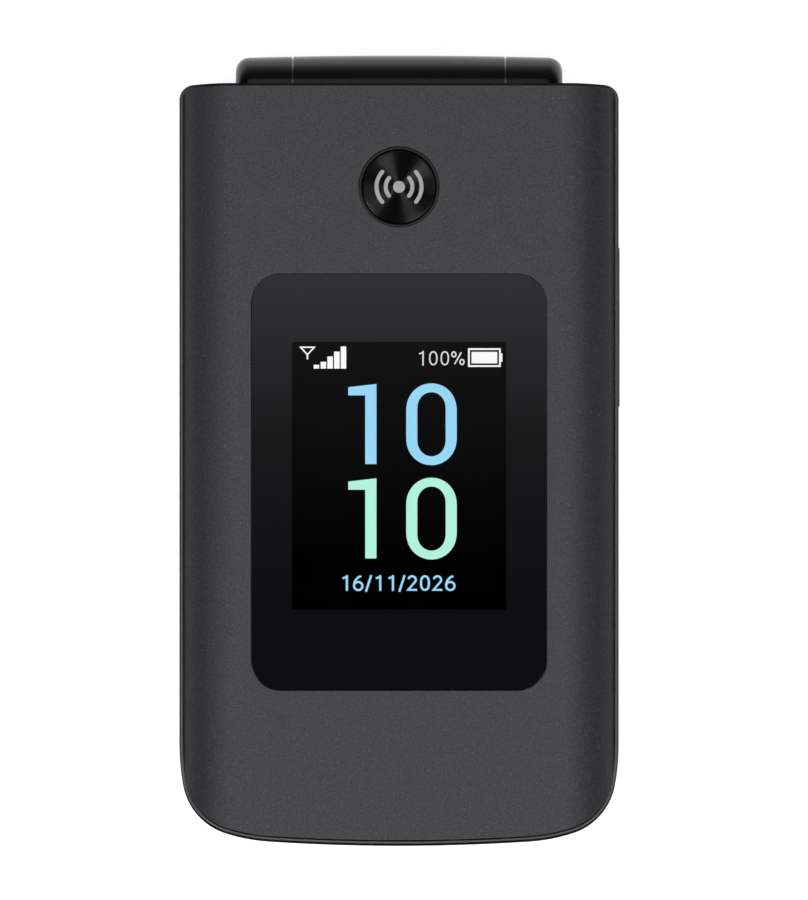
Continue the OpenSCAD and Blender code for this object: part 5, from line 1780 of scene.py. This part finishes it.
@dataclass
class Screws:
    """The countersunk screws, turned and with a six-sided recess."""

    head_r: float = 1.4
    shank_r: float = 0.75
    recess_r: float = 0.7
    bevel: float = 0.25  # share of the head's thickness
    sets: tuple[ScrewSet, ...] = (
        ScrewSet("turned_base_screws", ((12, -48.4), (25.6, 39.6)), (1.4, 2.25), 8.9, 0.4, Body.BASE,
                 "base_screws"),
        ScrewSet("turned_lid_screws", ((21.5, -45.0), (23, 39.55)), (10.85, 11.35), 13.9, 0.3, Body.LID,
                 "lid_screws"))

    def add(self, screws: ScrewSet) -> Piece:
        """Adds a set of screws.

        Args:
            screws: the set.

        Returns:
            The piece.
        """
        low, high = (z * MM for z in screws.head_z)
        seed = bpy.data.meshes.new("places")
        seed.from_pydata([(side * x * MM, y * MM, low) for side in (-1, 1) for x, y in screws.places], [], [])
        recipe = Recipe(screws.name)
        head_r = recipe.size("Head radius", self.head_r)
        shank_r = recipe.size("Shank radius", self.shank_r)
        recess_r = recipe.size("Recess radius", self.recess_r)
        bevel = self.bevel * (high - low)
        narrow = recipe.math("SUBTRACT", head_r, bevel)
        length = screws.tip_z * MM - low - bevel
        parts = []
        for sides, foot_r, top_r, depth, lift in ((40, narrow, head_r, bevel, 0.0),
                                                  (40, head_r, head_r, high - low - bevel, bevel),
                                                  (32, shank_r, shank_r, length, bevel)):
            part = recipe.shape("MeshCone", Vertices=sides, Side_Segments=1, Fill_Segments=1,
                                Radius_Bottom=foot_r, Radius_Top=top_r, Depth=depth)
            parts.append(recipe.moved(part, Translation=(0, 0, lift)) if lift else part)
        drive = recipe.shape("MeshCylinder", Vertices=6, Radius=recess_r, Depth=2 * screws.recess * MM)
        turned = recipe.cut(recipe.union(*parts), drive)
        mesh = recipe.mesh(recipe.spread(recipe.source.outputs["Geometry"], turned), TURNED, seed)
        return add_piece(screws.name, mesh, TURNED, screws.body, Slot.STEEL, [screws.node])

    def build(self) -> None:
        """Makes the screws of the base and of the lid."""
        for screws in self.sets:
            self.add(screws)


@dataclass
class BaseShell:
    """The rear housing with its ears, the battery cover, the side rocker and the camera window."""

    ear_from: float = 13.9
    ear_r: float = 4.35
    ear_back: float = 3.6
    window_at: Point = (-3.5, 34.5)
    window_r: float = 4.4
    window_z: Span = (0.1, 0.85)
    window_edge: tuple[Point, ...] = ((-0.15, 0), (-0.04, 0.04), (0, 0.15))

    def gloss_ears(self, housing: Piece) -> None:
        """Gives the ears the gloss of the barrel's middle."""
        housing.data.materials.append(GLOSS_BLACK.material())
        axis_y, axis_z = HINGE_AT
        for face in housing.data.polygons:
            x, y, z = (c / MM for c in face.center)
            on_ear = math.hypot(y - axis_y, z - axis_z) < self.ear_r and y > axis_y - self.ear_back
            if on_ear and abs(x) > self.ear_from:
                face.material_index = 1

    def build(self, model: Model) -> None:
        """Smooths the shells and makes the window."""
        self.gloss_ears(model.refine("rear_housing", BASE_SHELL, Slot.PAINT))
        model.refine("battery_cover", BACK_PAINT, Slot.PAINT)
        model.refine("volume_rocker", RIM, Slot.RIM)
        low, high = self.window_z
        r = self.window_r
        section = [(0.0, low), *from_corner((r, low), self.window_edge), (r, high), (0.0, high)]
        # The camera glass carries a faint painted reflection, lighter towards the hinge end.
        add_piece("camera_glass", make_mesh("glass", revolved(section, self.window_at), 30), CAMERA_GLASS,
                  Body.BASE, Slot.GLASS, ["camera_window"])


@dataclass
class InnerParts:
    """What the housings hide, each with its own finish."""

    smooth: dict[str, tuple[Finish, Slot]] = field(default_factory=lambda: {
        "battery": (WRAP, Slot.WRAP),
        "usb_port": (STEEL, Slot.STEEL),
        "headphone_jack": (BLACK_NYLON, Slot.BLACK),
        "loudspeaker": (BLACK_NYLON, Slot.BLACK),
        "vibration_motor": (TURNED, Slot.STEEL),
        "camera_module": (BLACK_NYLON, Slot.BLACK)})

    def build(self, model: Model) -> None:
        """Smooths the round parts and dresses the flat ones."""
        for node, (finish, slot) in self.smooth.items():
            model.refine(node, finish, slot)
        model.dress(BOARD, "main_board")
        model.dress(COPPER, "battery_contacts", "antenna")
        model.dress(STEEL, "sim_holder")


@dataclass
class Studio:
    """White table, soft lamps, a dark room that is pale towards the hinge end, and the camera."""

    frame_px: tuple[int, int] = (808, 900)
    mm_per_px: float = 0.1313
    centre: Point = (0.65, 0.066)
    focus_z: float = 10.0
    lens: float = 1000.0
    sensor: float = 36.0
    clip_end: float = 20.0
    table_reach: float = 2500.0
    table_z: Span = (-2.0, -0.02)
    lamp_distance: float = 1.2
    lamps_at: tuple[Room, ...] = (  # angle round the phone, angle from the zenith, width in metres, power
        (208.0, 12.0, 0.13, 2.6), (300.0, 12.0, 0.13, 2.9), (14.0, 13.0, 0.13, 0.9), (210.0, 36.0, 0.4, 4.8),
        (322.0, 34.0, 0.4, 4.8), (104.0, 18.0, 0.6, 0.6))
    sky: tuple[Point, ...] = (  # height and brightness
        (0.0, 1.0), (0.04, 0.85), (0.1, 0.66), (0.17, 0.5), (0.28, 0.28), (0.38, 0.18), (0.6, 0.08),
        (1.0, 0.05))
    sky_share: float = 0.05
    sky_end: Span = (0.25, 0.7)

    def camera(self) -> None:
        """Sets the camera straight above the phone, far off with a long lens."""
        data = bpy.data.cameras.new("camera")
        data.lens, data.sensor_width, data.clip_end = self.lens, self.sensor, self.clip_end
        distance = self.lens / self.sensor * self.frame_px[1] * self.mm_per_px
        camera = in_scene("camera", data)
        camera.location = tuple(c * MM for c in (*self.centre, distance + self.focus_z))
        bpy.context.scene.camera = camera

    def floor(self) -> None:
        """Lays the white table."""
        reach = self.table_reach
        mesh = make_mesh("floor", extruded(box(-reach, -reach, reach, reach), *self.table_z))
        mesh.materials.append(CARD.material())
        in_scene("floor", mesh)

    def lamps(self) -> None:
        """Hangs the soft lamps, all turned to the phone."""
        for around, down, size, power in self.lamps_at:
            data = bpy.data.lights.new(f"soft lamp {around:.0f}", "AREA")
            data.energy, data.size = power, size
            lamp = in_scene(data.name, data)
            a, tilt = math.radians(around), math.radians(down)
            flat = self.lamp_distance * math.sin(tilt)
            lamp.location = (flat * math.cos(a), flat * math.sin(a), self.lamp_distance * math.cos(tilt))
            lamp.rotation_euler = (0, tilt, a)
            lamp.visible_camera = False

    def world(self) -> None:
        """Gives the dark room with its pale horizon towards the hinge end."""
        world = bpy.data.worlds.new("studio")
        bpy.context.scene.world = world
        world.use_nodes = True
        tree = NodeTree(world.node_tree)
        way = tree.add("ShaderNodeTexCoord").outputs["Generated"]
        sky = tree.ramp(tree.part(way, "Z"), [(height, tinted(WHITE, value)) for height, value in self.sky])
        light = tree.add("ShaderNodeBackground", Color=sky,
                         Strength=tree.span(tree.part(way, "Y"), self.sky_share, 1.0, *self.sky_end))
        tree.add("ShaderNodeOutputWorld", Surface=light.outputs["Background"])

    def build(self) -> None:
        """Sets up the view and the light."""
        self.camera()
        self.floor()
        self.lamps()
        self.world()
        bpy.context.scene.view_settings.view_transform = "Standard"


def main() -> None:
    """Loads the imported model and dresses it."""
    logging.basicConfig(level=logging.INFO, format="%(message)s")
    model = Model(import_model())
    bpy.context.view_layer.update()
    Studio().build()
    LidShell(PlanOutline()).build(model)
    Hinge().build(model)
    OutsideDisplay().build(model)
    FrontButton().build()
    Keypad().build(model)
    InsideDisplay().build(model)
    Screws().build()
    BaseShell().build(model)
    InnerParts().build(model)
    bpy.context.view_layer.update()


if __name__ == "__main__":
    main()
